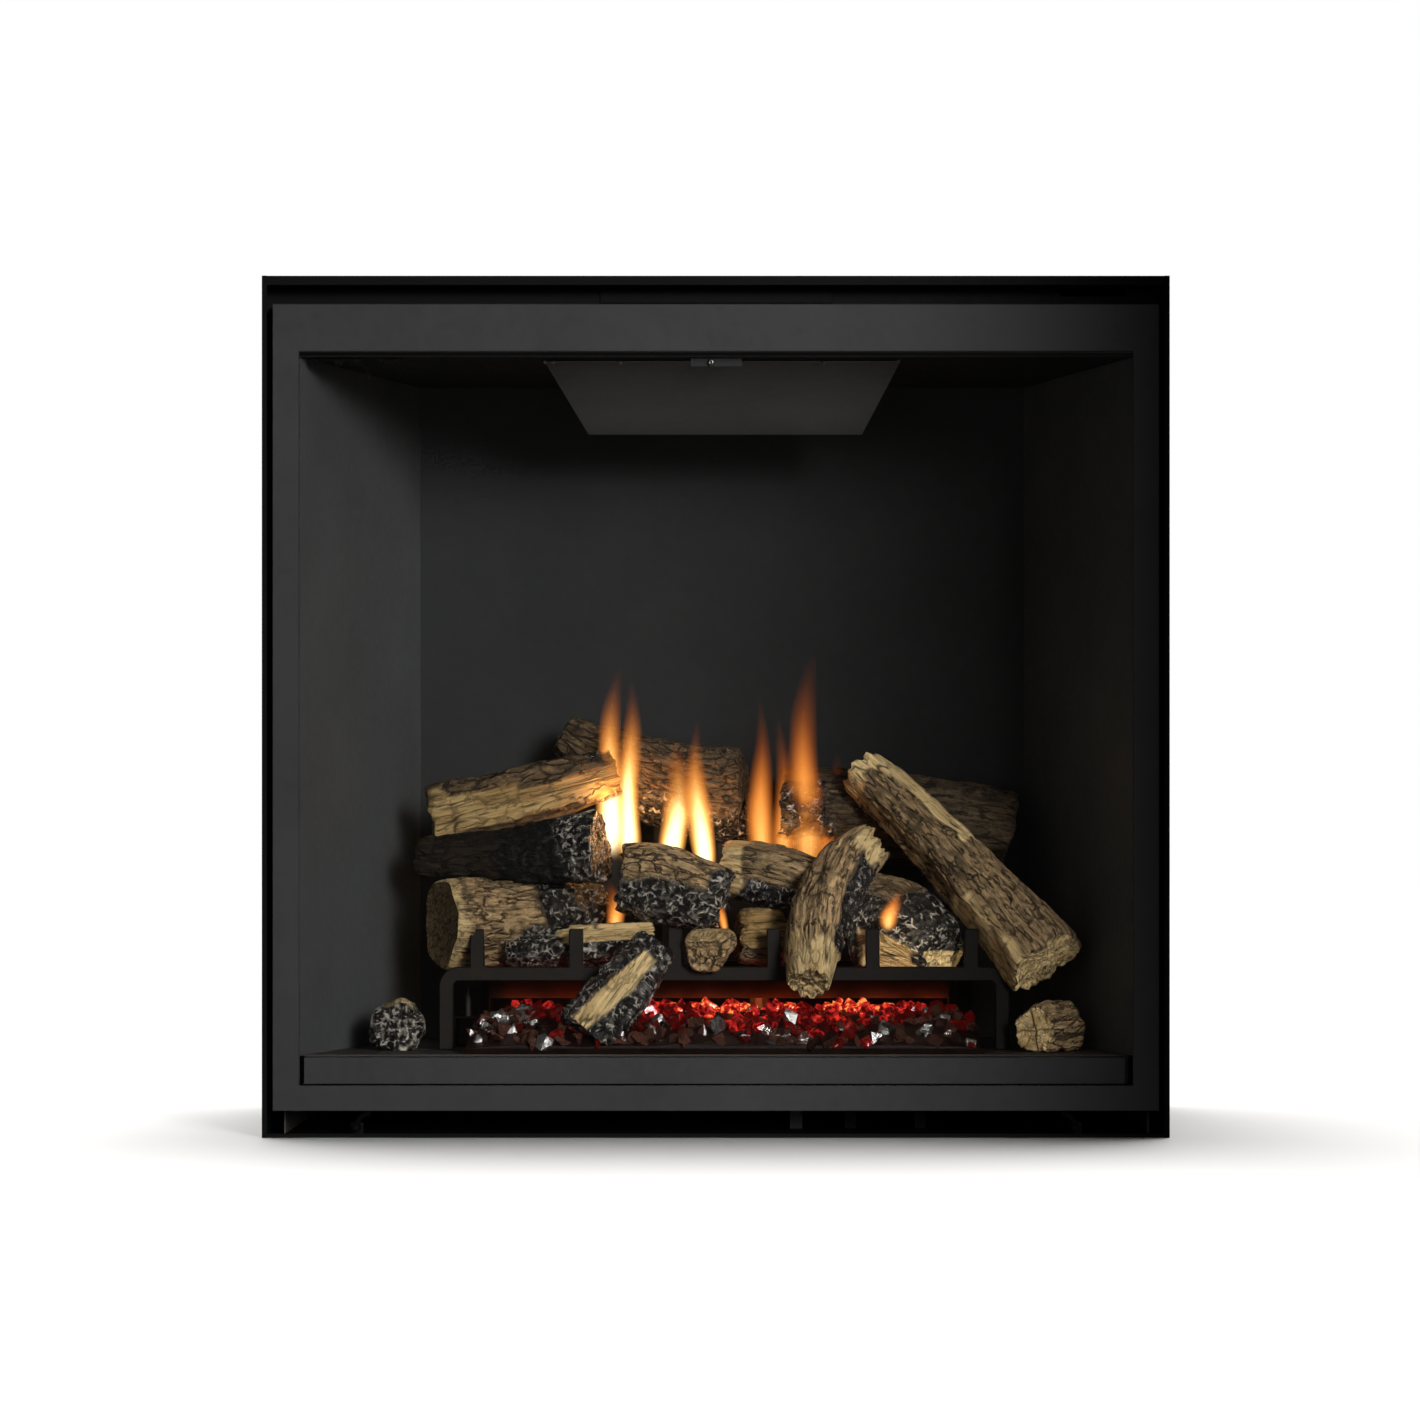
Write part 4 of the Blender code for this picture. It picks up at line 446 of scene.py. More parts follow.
def crushed_glass(
    name, low, high, clearness, roughness=0.05, metal=0.0, relief=0.5 * MM, glow=(), strength=0.0
):
    """Tempered glass crushed into chips, tumbled and coloured through. Its facets glint."""
    material, node = new_material(name)
    place = node("TexCoord", output="Object")
    tint = node("Attribute", output="Fac", attribute_name="tint")
    waves = node("TexNoise", {"Vector": place, "Scale": 1 / (4 * MM), "Detail": 2.0})
    inputs = {
        "Base Color": node("ValToRGB", [tint], ramp=((0.0, low), (1.0, high))),
        "Normal": node("Bump", {"Height": waves, "Distance": relief, "Strength": 0.6}),
        "Roughness": roughness, "IOR": 1.5, "Transmission Weight": clearness, "Metallic": metal,
    }
    if glow:
        # Painted glow: the light of the lamps below is given off unevenly by each chip itself.
        wells = node("TexNoise", {"Vector": place, "Scale": 1 / (6 * MM), "Detail": 2.0})
        lit = node("Attribute", output="Fac", attribute_name="lit")
        lit = node("Math", (lit, node("MapRange", (wells, 0.35, 0.65, 0.35, 1.15))), **TIMES)
        inputs["Emission Color"] = node("ValToRGB", [lit], ramp=glow)
        inputs["Emission Strength"] = strength
    return surfaced(material, inputs)


def lit_lens(strength):
    """A frosted acrylic lens over red and amber lamps."""
    material, node = new_material("frosted_acrylic_lens")
    place = node("TexCoord", output="Object")
    lamps = node("TexNoise", {"Vector": place, "Scale": 1 / (45 * MM), "Detail": 1.0})
    red_to_amber = ((0.35, "#b01000"), (0.6, "#ff3a08"), (0.75, "#ff8a30"))
    return surfaced(material, {
        "Emission Color": node("ValToRGB", [lamps], ramp=red_to_amber),
        "Base Color": "#7a3020", "Roughness": 0.4, "Emission Strength": strength,
    })


def burning_gas(strength):
    """Flame: light only. The mesh carries warmth, for its colour, and veil, for how much it hides."""
    material, node = new_material("burning_gas")
    warmth, veil = (node("Attribute", output="Fac", attribute_name=name) for name in ("warmth", "veil"))
    return surfaced(material, {
        "Emission Color": node("ValToRGB", [warmth], ramp=(
            (0.0, (0.02, 0.003, 0.0006)), (0.25, (0.16, 0.036, 0.005)), (0.45, (0.42, 0.135, 0.022)),
            (0.65, (0.62, 0.27, 0.06)), (0.85, (0.95, 0.62, 0.2)), (1.0, (1.0, 0.9, 0.6)),
        )),
        "Base Color": (0, 0, 0), "Roughness": 1.0, "Specular IOR Level": 0.0, "Alpha": veil,
        "Emission Strength": strength,
    })


def dress(material, *names):
    for name in names:
        node = NODES[name]
        if not node.material_slots:
            node.data.materials.append(None)
        for slot in node.material_slots:
            slot.material = material


# Shapes


# Large odd numbers that scatter the bits of a cell's place and seed.
MIX_PLACE = np.array((374761393, 668265263, 1440662683))
MIX_SEED, MIX_AGAIN = 974634777, 1274126177
LOW_32, LOW_16 = 0xFFFFFFFF, 0xFFFF


def lattice(cells, seed):
    """A repeatable value from 0 to 1 for each whole cell of space."""
    mixed = (cells.astype(np.int64) @ MIX_PLACE + seed * MIX_SEED) & LOW_32
    mixed = ((mixed ^ (mixed >> 13)) * MIX_AGAIN) & LOW_32
    return ((mixed ^ (mixed >> 16)) & LOW_16) / LOW_16


def swell(points, seed):
    """Smooth noise from -1 to 1, one swell to a unit. Each seed gives a pattern of its own."""
    base = np.floor(points)
    part = points - base
    part = part * part * part * (part * (part * 6 - 15) + 10)
    total = 0
    for corner in itertools.product((0, 1), repeat=3):
        weight = np.prod(np.where(corner, part, 1 - part), axis=-1)
        total = total + weight * lattice(base + corner, seed)
    return total * 2 - 1


def ease(value, low, high):
    """0 below low, 1 above high, and smooth between."""
    share = np.clip((value - low) / (high - low), 0, 1)
    return share * share * (3 - 2 * share)


def new_piece(name, vertices, faces, material, body="fireplace", slot=None, smooth=True, **marks):
    """A mesh piece that rides on a body. Marks are values kept at its points."""
    mesh = bpy.data.meshes.new(name)
    mesh.from_pydata([tuple(v) for v in vertices], [], faces)
    mesh.validate()
    if smooth:
        mesh.shade_smooth()
    mesh.materials.append(material)
    for mark, values in marks.items():
        values = np.asarray(values, np.float32)
        vector = values.ndim == 2
        kept = mesh.attributes.new(mark, "FLOAT_VECTOR" if vector else "FLOAT", "POINT")
        kept.data.foreach_set("vector" if vector else "value", values.ravel())
    piece = bpy.data.objects.new(name, mesh)
    bpy.context.scene.collection.objects.link(piece)
    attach(piece, body)
    return piece


def tube_faces(rows, sides):
    """Quads of a tube of rings, each of as many sides, closed by a face at each end."""
    faces = [
        (ring + i, ring + (i + 1) % sides, ring + sides + (i + 1) % sides, ring + sides + i)
        for ring in range(0, (rows - 1) * sides, sides) for i in range(sides)
    ]
    return [*faces, tuple(range(sides))[::-1], tuple(range((rows - 1) * sides, rows * sides))]


# Logs. Places are shares of the grate: across from its middle in half widths, back from its front
# in lengths, and up from the floor in heights. Girths are shares of the log radius. A split is
# (degrees, share of the girth, from, to), 0 to the front and 90 up, and from and to are places along
# the log. A zone is (from, to, degrees, half its spread).

FLOOR_HEIGHT = 0.0887
GRATE_PLACE = (0.007, -0.140, FLOOR_HEIGHT)
GRATE_SIZE = (0.321, 0.200, 0.0935)
LOG_RADIUS = 0.050
ALL_ROUND = 400
PLAIN_LOG = dict(
    splits=(),
    twist=0,  # degrees that the splits and zones turn by along the log
    bare=(),  # zones where the bark is off
    kept=(),  # zones of a split where the bark is still on
    char=(),  # zones of charred bark
    burnt=(),  # zones of char over bark and wood alike
    ends=(0, 0),  # share of bare wood on the first and the last end
    clean_below=-2,  # the last end is wood below this share of its height
    ragged=0.25,  # how ragged the ends' rims are
    pits=1.0,  # how deeply the ends are pitted
    cross=(),  # degrees of cracks right across the ends
    shade=1.0,  # tone of the bark: partly its own colour, partly painted shade on logs in shadow and painted light on logs lit little
    end_shade=1.0,  # painted shade on the first end, times the bark's tone
    pale=1.0,  # tone of the wood: partly its own colour, partly painted light on split faces turned from the light
    dull=0.0,  # how far the wood's face takes the bark's colour
    sheen=1.0,  # silver and wrinkles on the char: partly painted highlights; below 1 it also darkens the char as painted shade
    cap_sheen=None,  # the same on the ends, if it isn't the log's own or 1
    sheen_from=2,  # place along the log from where the char is as on the ends
)
LOGS = {
    "log_lower_left": dict(
        path=((-1.00, 0.22, 1.52), (-0.73, 0.42, 1.56), (-0.44, 0.62, 1.70)), girths=(1.07, 0.90, 0.58),
        shade=1.8, end_shade=0.75, char=((0.60, 1, 0, ALL_ROUND), (0.42, 1, -60, 50)),
        bare=((0, 0.06, 20, 120),), ends=(0.2, 0), ragged=0.05, pits=0.35,
    ),
    "log_front_left": dict(
        path=((-0.77, 0.22, 1.22), (-0.53, 0.22, 1.25), (-0.25, 0.23, 1.32)), girths=(0.43, 0.48, 0.43),
        splits=((60, 0.58, 0, 1),), shade=1.2, pale=1.6, sheen=1.8, char=((0, 1, 240, 150),),
        burnt=((0, 0.40, 0, ALL_ROUND),),
    ),
    "log_mid_left": dict(
        path=((-1.09, 0.55, 2.30), (-0.78, 0.42, 2.31), (-0.44, 0.28, 2.41)), girths=(0.44, 0.60, 0.84),
        shade=0.1, sheen=0.05, sheen_from=0.84, cap_sheen=1.8, char=((0.50, 1, 0, ALL_ROUND),),
    ),
    "log_long_split": dict(
        path=((-1.06, 0.66, 2.79), (-0.74, 0.70, 3.04), (-0.40, 0.78, 3.35)), girths=(0.66, 0.65, 0.53),
        splits=((5, 0.62, 0, 1),), shade=0.6, pale=0.82, kept=((0.12, 1, 62, 18), (0.5, 1, 46, 20)),
        char=((0.86, 1, 180, 120),), ends=(0.6, 0),
    ),
    "log_rear_left": dict(
        path=((-0.60, 1.04, 3.85), (-0.23, 1.04, 3.24), (0.07, 1.02, 3.10)), girths=(0.46, 1.00, 1.06),
        shade=0.58, sheen=0.9, char=((0, 0.1, -150, 60), (0.45, 1, -62, 42)),
    ),
    "log_centre": dict(
        path=((-0.37, 0.32, 2.10), (-0.20, 0.31, 2.01), (0.01, 0.27, 1.82)), girths=(0.84, 0.96, 0.74),
        splits=((105, 0.72, 0, 1),), shade=2.0, pale=0.8, dull=0.8, sheen=1.5,
        char=((0, 1, -72, 80), (0.9, 1, 0, ALL_ROUND)),
    ),
    "log_small_front": dict(
        path=((-0.04, 0.24, 1.30), (-0.05, 0.06, 1.24), (-0.07, -0.10, 1.18)), girths=(0.48, 0.50, 0.45),
        splits=((90, 0.62, 0, 1),), shade=2.0, pale=1.2, pits=2.0,
    ),
    "log_charred_leaning": dict(
        path=((-0.23, -0.08, 1.30), (-0.35, -0.16, 0.74), (-0.48, -0.27, 0.18)), girths=(0.45, 0.64, 0.70),
        splits=((15, 0.76, 0, 1),), shade=0.8, pale=1.3, sheen=1.4, char=((0, 1, 195, 150),),
        burnt=((0, 0.1, 0, ALL_ROUND), (0, 1, -38, 44), (0, 1, 90, 22)), twist=50,
    ),
    "log_lower_right": dict(
        path=((0.48, 0.44, 1.48), (0.62, 0.32, 1.41), (0.77, 0.09, 1.16)), girths=(1.05, 1.04, 0.68),
        splits=((-35, 0.78, 0.25, 1),), shade=1.2, pale=1.5, bare=((0.22, 0.92, -28, 26),),
        char=((0, 1, 16, 36), (0, 1, 200, 90), (0.62, 1, 90, 80)),
        burnt=((0, 0.2, -20, 60), (0.93, 1, 0, ALL_ROUND)), clean_below=0.06, ragged=0.1,
    ),
    "log_small_tan": dict(
        path=((0.05, 0.25, 1.33), (0.12, 0.28, 1.33), (0.20, 0.33, 1.33)), girths=(0.60, 0.62, 0.58),
        splits=((30, 0.70, 0, 1),), shade=0.8, pale=0.6,
    ),
    "log_bark_leaning": dict(
        path=((0.52, 0.37, 2.49), (0.36, 0.11, 1.80), (0.30, -0.25, 0.82)), girths=(0.53, 0.70, 0.52),
        shade=1.85, char=((0.06, 0.85, -14, 40),), bare=((0, 0.15, 60, 110), (0.84, 1, 0, ALL_ROUND)),
        ends=(0.9, 0.85), ragged=1.0, pits=1.7,
    ),
    "log_centre_right": dict(
        path=((-0.01, 0.42, 2.20), (0.15, 0.41, 2.10), (0.33, 0.39, 1.94)), girths=(0.62, 0.70, 0.60),
        shade=1.3, char=((0.1, 1, -66, 56),), bare=((0, 0.22, 40, 110),), ends=(0.9, 0), ragged=0.8,
    ),
    "log_right_leaning": dict(
        path=((0.49, 0.70, 3.37), (0.82, 0.32, 2.25), (1.12, -0.08, 1.05)), girths=(0.62, 0.73, 0.94),
        splits=((95, 0.80, 0, 0.48),), shade=1.4, pale=1.35, char=((0.1, 0.6, -100, 40),),
        bare=((0.67, 1, -28, 40), (0, 0.05, 0, ALL_ROUND)), ends=(0.9, 1), ragged=0.5, pits=1.5,
    ),
    "log_rear_right": dict(
        path=((0.20, 0.98, 2.88), (0.63, 0.98, 2.79), (1.03, 0.98, 2.60)), girths=(1.02, 1.05, 0.96),
        shade=0.32, char=((0, 0.2, -40, 80),),
    ),
    "log_left_chunk": dict(
        path=((-1.14, -0.12, 0.29), (-1.15, 0.05, 0.29), (-1.15, 0.22, 0.29)), girths=(0.56, 0.61, 0.54),
        sheen=3.0, char=((0, 1, 0, ALL_ROUND),), bare=((0, 1, 95, 30),), pale=1.2,
    ),
    "log_right_chunk": dict(
        path=((1.08, -0.25, 0.26), (1.14, -0.12, 0.28), (1.20, 0.00, 0.30)), girths=(0.53, 0.57, 0.54),
        shade=1.6, ends=(1, 0), pale=1.5, pits=0.6, cross=(4, 97),
    ),
}
CAP_SHARES = (0.03, 0.1, 0.17, 0.24, 0.31, 0.38, 0.45, 0.52, 0.59, 0.66, 0.73, 0.8, 0.87, 0.93, 0.98)
RIM_SHARE = 0.93
BARK_THICKNESS = 1.8 * MM


def in_zones(zones, along, angle, wander):
    """How far each point is in any zone, with soft edges that wander."""
    share = np.zeros_like(angle)
    soft_angle, soft, stray = 0.12, 0.02, 0.07 * wander
    for first, last, degrees, spread in zones:
        away = np.abs((angle - math.radians(degrees) + math.pi) % math.tau - math.pi)
        edge = math.radians(spread) * (1 + 0.2 * wander)
        round_it = 1 - ease(away, edge - soft_angle, edge + soft_angle)
        low = first + stray - soft if first > 0 else -1
        high = last - stray + soft if last < 1 else 2
        along_it = ease(along, low - soft, low + soft) * (1 - ease(along, high - soft, high + soft))
        share = np.maximum(share, round_it * along_it)
    return share


def log_axis(start, middle, end, rows, facing):
    """At each ring of a log, its centre and the directions ahead, to its front and up."""
    bend = 2 * middle - (start + end) / 2
    rings = []
    for t, _ in rows:
        centre = start * (1 - t) ** 2 + bend * 2 * (1 - t) * t + end * t * t
        ahead = ((bend - start) * (1 - t) + (end - bend) * t).normalized()
        up = Vector((0, 0, 1))
        up = (up - ahead * up.dot(ahead)).normalized()
        rings.append((centre, ahead, ahead.cross(up) * facing, up))
    return (np.array(column)[:, None, :] for column in zip(*rings))


def log_skin(log, rows, sides, length, seed):
    """Where each point of a log's skin is: along it, round it and in its girth, and its bare radius."""
    along, share = (np.array(rows)[:, i, None] + np.zeros(sides) for i in (0, 1))
    angle = np.zeros((len(rows), 1)) + np.linspace(0, math.tau, sides, endpoint=False)
    cos, sin = np.cos(angle), np.sin(angle)
    left = 1 - along
    first, middle, last = (girth * LOG_RADIUS for girth in log.girths)
    girth = first * left * (1 - 2 * along) + middle * 4 * left * along + last * along * (2 * along - 1)
    from_end = np.minimum(along, left) * length
    girth = girth * (1 - (1 - RIM_SHARE) * np.exp(-from_end / (2.5 * MM)))
    rough = np.array([
        [noise.noise((math.cos(a), math.sin(a), t * 4 + seed * 10)) for a in angle[0]] for t, _ in rows
    ])
    return SimpleNamespace(
        along=along, share=share, angle=angle, cos=cos, sin=sin, girth=girth, from_end=from_end,
        cap=share < 1, first_end=along < 0.5,
        turned=angle - math.radians(log.twist) * (along - 0.5),
        radius=girth * (1 + 0.05 * (np.sin(3 * angle + seed) + np.sin(5 * angle + 2 * seed)) + 0.06 * rough),
        wander=swell(np.stack((cos * 2.2, sin * 2.2, along * length / (24 * MM)), -1), seed),
        flow=np.stack((cos * girth * share, sin * girth * share, along * length), -1) + seed,
    )


def split_faces(log, skin):
    """The radius with the log's splits cut flat, and how far each point is on a split face."""
    radius, split = skin.radius, np.zeros_like(skin.angle)
    for degrees, depth, first, last in log.splits:
        toward = np.cos(skin.turned - math.radians(degrees))
        limit = skin.girth * depth / np.maximum(toward, 0.01) * (1 + 0.03 * skin.wander)
        held = ease(skin.along, first - 0.04, first + 0.02) if first > 0 else 1
        if last < 1:
            held = held * (1 - ease(skin.along + 0.05 * skin.wander, last - 0.06, last + 0.02))
        cut = np.maximum((skin.radius - limit) * held * (toward > 0), 0)
        radius = radius - cut
        split = np.maximum(split, ease(cut, 0.2 * MM, 1.4 * MM))
    return radius, split


def bark_relief(skin, seed, furrow):
    """The height of the bark, and its furrows: some 10 mm apart, finer ones 5.5 mm apart."""
    wander = skin.wander
    bent = skin.flow + 2.5 * MM * np.stack((wander, np.roll(wander, 7, 0), wander * 0), -1)
    wide = np.abs(swell(bent / (10 * MM) * (1, 1, 0.22), seed))
    fine = np.abs(swell(bent / (5.5 * MM) * (1, 1, 0.3), seed + 31))
    plates = swell(skin.flow / (7 * MM) * (1, 1, 0.6), seed + 5)
    swollen = np.minimum(1, 2.6 * wide) ** 0.6 + 0.5 * np.minimum(1, 2.4 * fine) ** 0.7
    furrows = 0.5 * (1 - ease(wide, 0.0, 0.14)) + 0.25 * (1 - ease(fine, 0.0, 0.16))
    return furrow * (swollen - 1.1) + 1.0 * MM * plates, furrows


def wood_relief(skin, seed):
    """The height of bare wood, with its grain, and its cracks: long ones, and a few across."""
    flow = skin.flow
    strands = swell(flow / (2.8 * MM) * (1, 1, 0.05), seed + 9)
    waves = swell(flow / (12 * MM) * (1, 1, 0.4), seed + 19)
    cracks = 1 - ease(np.abs(swell(flow / (15 * MM) * (1, 1, 0.11), seed + 13)), 0.0, 0.07)
    across = 1 - ease(np.abs(swell(flow / (16 * MM) * (0.3, 0.3, 0.8), seed + 17)), 0.0, 0.05)
    cracks = np.maximum(cracks, across * 0.5)
    return 0.3 * MM * strands - 1.5 * MM * cracks + 0.8 * MM * waves, cracks


def char_relief(skin, seed):
    """The height of crinkled char, and its crests: big ones 9 mm apart, small ones 6 mm apart."""
    big = 1 - np.abs(swell(skin.flow / (9 * MM), seed + 23)) * 2
    small = 1 - np.abs(swell(skin.flow / (6 * MM), seed + 29)) * 2
    return 2.2 * MM * big + 0.6 * MM * small - 0.9 * MM, ease(big + 0.5 * small, 0.7, 1.35)


def broken_ends(log, skin, seed):
    """How far each point is moved ahead by ragged rims and pitted ends, and the ends' cracks."""
    side, share = np.round(skin.along), skin.share
    rim = swell(np.stack((skin.cos * 2.6, skin.sin * 2.6, side * 5), -1), seed + 37)
    splinters = swell(np.stack((skin.cos * 6, skin.sin * 6, side * 5), -1), seed + 41)
    reach = 0.14 * min(1, 4 * log.ragged) * rim + 0.16 * log.ragged * splinters
    reach = reach * skin.girth * np.exp(-skin.from_end / (7 * MM)) * share ** 3
    pits = swell(skin.flow / (8 * MM) * (1, 1, 0) + side[..., None] * 3, seed + 43)
    cells = swell(skin.flow / (4.5 * MM) * (1, 1, 0) + side[..., None] * 3, seed + 47)
    pitted = log.pits * (2.2 * MM * np.abs(pits) + 1.0 * MM * np.abs(cells)) * ease(1 - share, 0.0, 0.2)
    pitted = np.where(skin.cap, pitted + 1.5 * MM * (1 - share), 0)
    cracks = np.maximum(1 - ease(np.abs(pits), 0.0, 0.1), 0.8 * (1 - ease(np.abs(cells), 0.0, 0.14)))
    for degrees in log.cross:
        off_line = np.abs(share * np.sin(skin.angle - math.radians(degrees)) + 0.05 * pits)
        cracks = np.maximum(cracks * 0.7, 1 - ease(off_line, 0.02, 0.09))
    return reach + np.where(skin.first_end, 1, -1) * pitted, cracks


def fine_log(name, facts, seed, material, settings):
    """One log on its solid's own centre line, with furrows, splits, crinkled char and broken ends."""
    log = SimpleNamespace(**{**PLAIN_LOG, **facts})
    start, middle, end = (
        Vector([first + share * size for first, share, size in zip(GRATE_PLACE, shares, GRATE_SIZE)])
        for shares in log.path
    )
    facing = 1 if end.x > start.x else -1
    length = (start - middle).length + (end - middle).length
    body_rows = max(12, int(length / settings.step))
    sides = max(36, int(math.tau * max(log.girths) * LOG_RADIUS / settings.step))
    rows = [(0.0, share) for share in CAP_SHARES]
    rows += [(i / (body_rows - 1), 1.0) for i in range(body_rows)]
    rows += [(1.0, share) for share in CAP_SHARES[::-1]]
    skin = log_skin(log, rows, sides, length, seed)
    cap, share, wander = skin.cap, skin.share, skin.wander
    radius, split = split_faces(log, skin)

    bare, kept, charred, burnt = (
        in_zones(zones, skin.along, skin.turned, wander)
        for zones in (log.bare, log.kept, log.char, log.burnt)
    )
    wood = np.where(cap, np.where(skin.first_end, *log.ends), np.maximum(split, bare) * (1 - kept))
    char = np.maximum(charred * (1 - wood), burnt)
    clean = cap & ~skin.first_end & (skin.sin * share < log.clean_below + 0.06 * wander)
    wood, char = np.where(clean, 1.0, wood), np.where(clean, 0.0, char)
    cap_sheen = log.cap_sheen or max(1.0, log.sheen)
    place = skin.along + 0.05 * skin.sin + 0.02 * wander
    toward_cap = ease(place, log.sheen_from - 0.03, log.sheen_from + 0.03)
    sheen = np.where(cap, cap_sheen, log.sheen * (1 - toward_cap) + cap_sheen * toward_cap)

    bark, furrows = bark_relief(skin, seed, settings.furrow)
    worn, cracks = wood_relief(skin, seed)
    # crest: a painted highlight on the crests of the crinkled char.
    crinkle, crest = char_relief(skin, seed)
    reach, end_cracks = broken_ends(log, skin, seed)
    worn = worn - BARK_THICKNESS * wood * (1 - split)
    height = (bark * (1 - wood) + worn * wood) * (1 - char) + crinkle * char
    radius = np.maximum(radius * share + height * np.where(cap, share * 0.4, 1), 0.4 * MM)
    # groove: painted shade in the bark's furrows, the wood's cracks and the ends' cracks.
    groove = np.where(cap, end_cracks * 0.9, furrows * (1 - wood) + 0.95 * cracks * wood)
    wood = wood * (1 - log.dull * (1 - cracks))
    # The bark's tone, with painted shade on the first end: partly the log's own colour, partly painted light
    # and shade.
    tone_and_shade = log.shade * np.where(cap & skin.first_end, log.end_shade, 1.0).ravel()

    centres, aheads, fronts, ups = log_axis(start, middle, end, rows, facing)
    points = centres + aheads * reach[..., None]
    points = points + fronts * (radius * skin.cos)[..., None] + ups * (radius * skin.sin)[..., None]
    points[..., 2] = np.maximum(points[..., 2], FLOOR_HEIGHT + 0.5 * MM)
    piece = new_piece(
        name + "_cast", points.reshape(-1, 3), [face[::facing] for face in tube_faces(len(rows), sides)],
        material, slot="charred_ceramic" if log.char and not wood.any() else "ceramic_bark",
        wood=wood.ravel(), char=char.ravel(), groove=np.clip(groove, 0, 1).ravel(),
        crest=(crest * sheen).ravel(), sheen=sheen.ravel(), shade=tone_and_shade, pale=np.full(tone_and_shade.shape, log.pale),
        flow=skin.flow.reshape(-1, 3),
    )
    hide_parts(name)


# Crushed glass

CHIP_SHAPES, CHIP_CORNERS = 30, 15
LIT_ABOVE, MIRRORED_SHARE, STRAY_RED_SHARE = 0.32, 0.16, 0.2


def glass_chip(rng):
    """Points and faces of one chip: the hull of a few corners, scattered round a ball."""
    bm = bmesh.new()
    for _ in range(CHIP_CORNERS):
        corner = Vector([rng.gauss(0, 1) for _ in range(3)]).normalized() * rng.uniform(0.75, 1.1)
        bm.verts.new(corner)
    bmesh.ops.convex_hull(bm, input=bm.verts)
    loose = [vert for vert in bm.verts if not vert.link_faces]
    bmesh.ops.delete(bm, geom=loose, context="VERTS")
    bm.verts.index_update()
    points = np.array([vert.co[:] for vert in bm.verts])
    faces = [tuple(vert.index for vert in face.verts) for face in bm.faces]
    bm.free()
    return points, faces


def bed_height(x, y):
    """The top of the solid bed at a place, or None off its edge."""
    hit, where, _, _ = NODES["ember_bed"].ray_cast(Vector((x, y, 0.5)), Vector((0, 0, -1)))
    return where.z if hit else None


def scatter(rng, count, size, low, high, chooser):
    """Chips half sunk in the solid bed, sorted into kinds: {kind: [points, faces, tints, glows]}."""
    shapes = [glass_chip(rng) for _ in range(CHIP_SHAPES)]
    heaps = {}
    for _ in range(count):
        x = rng.uniform(low.x + 6 * MM, high.x - 6 * MM)
        y = rng.uniform(low.y + 4 * MM, high.y - 4 * MM)
        top = bed_height(x, y)
        if top is None:
            continue
        points, faces = rng.choice(shapes)
        turn = np.array(Euler([rng.uniform(0, math.tau) for _ in range(3)]).to_matrix())
        spread = np.array([rng.uniform(0.4, 0.66), rng.uniform(0.32, 0.52), rng.uniform(0.22, 0.4)]) * size
        spread = spread * rng.uniform(0.7, 1.25)
        placed = (points * spread) @ turn.T + (x, y, top + rng.uniform(-2.5, 2.5) * MM)
        placed[:, 2] = np.maximum(placed[:, 2], low.z + 0.5 * MM)
        depth = (y - low.y) / (high.y - low.y)
        kind, tint, lit = chooser(rng, x, depth)
        heap = heaps.setdefault(kind, [[], [], [], []])
        first = len(heap[0])
        heap[0].extend(placed)
        heap[1].extend(tuple(first + i for i in face) for face in faces)
        heap[2].extend([tint] * len(placed))
        heap[3].extend([lit] * len(placed))
    return heaps


def chip_kind(rng, x, depth):
    """Red chips carry a painted glow, in patches towards the back, and smoky and mirrored ones lie in front.
    """
    patch = 0.5 + 0.5 * math.sin(x * 34 + 0.6) * math.sin(x * 13 + 2.0)
    near_end = max(0.0, abs(x - 0.02) - 0.19) * 9
    warm = depth + 0.35 * (patch - 0.5) - near_end + rng.uniform(-0.16, 0.16)
    if warm > LIT_ABOVE:
        return "red", rng.random(), min(1.0, max(0.15, (warm - 0.2) * 1.5 + rng.uniform(-0.3, 0.25)))
    if rng.random() < MIRRORED_SHARE:
        return "mirrored", rng.random(), 0.0
    if rng.random() < STRAY_RED_SHARE:
        return "red", rng.random(), rng.uniform(0.0, 0.4)
    return "smoky", rng.random(), 0.0


# Flames. Each is (foot, tip, width, heat): the foot and tip are X, depth and height in metres.

FLAMES = (
    ((-0.1287, 0.285, 0.296), (-0.1101, 0.300, 0.5240), 0.044, 1.0),
    ((-0.1040, 0.290, 0.292), (-0.1173, 0.300, 0.5080), 0.038, 1.0),
    ((-0.0615, 0.285, 0.286), (-0.0430, 0.300, 0.4420), 0.046, 1.0),
    ((-0.0164, 0.280, 0.272), (-0.0205, 0.300, 0.4620), 0.038, 0.97),
    ((0.0530, 0.290, 0.262), (0.0319, 0.305, 0.4870), 0.038, 0.6),
    ((0.0700, 0.300, 0.268), (0.0754, 0.305, 0.4660), 0.036, 0.54),
    ((0.0993, 0.290, 0.262), (0.1155, 0.300, 0.5400), 0.056, 0.57),
    ((0.1230, 0.300, 0.272), (0.1224, 0.305, 0.4260), 0.036, 0.36),
    ((-0.1206, 0.215, 0.212), (-0.1190, 0.220, 0.2800), 0.030, 0.62),
    ((0.0080, 0.184, 0.214), (0.0040, 0.188, 0.2680), 0.014, 0.55),
    ((0.1910, 0.128, 0.220), (0.1930, 0.132, 0.2740), 0.026, 0.66),
)
FLAME_SHELLS, FLAME_ROWS, FLAME_SIDES = 9, 40, 16
TALL_FLAME = 0.4


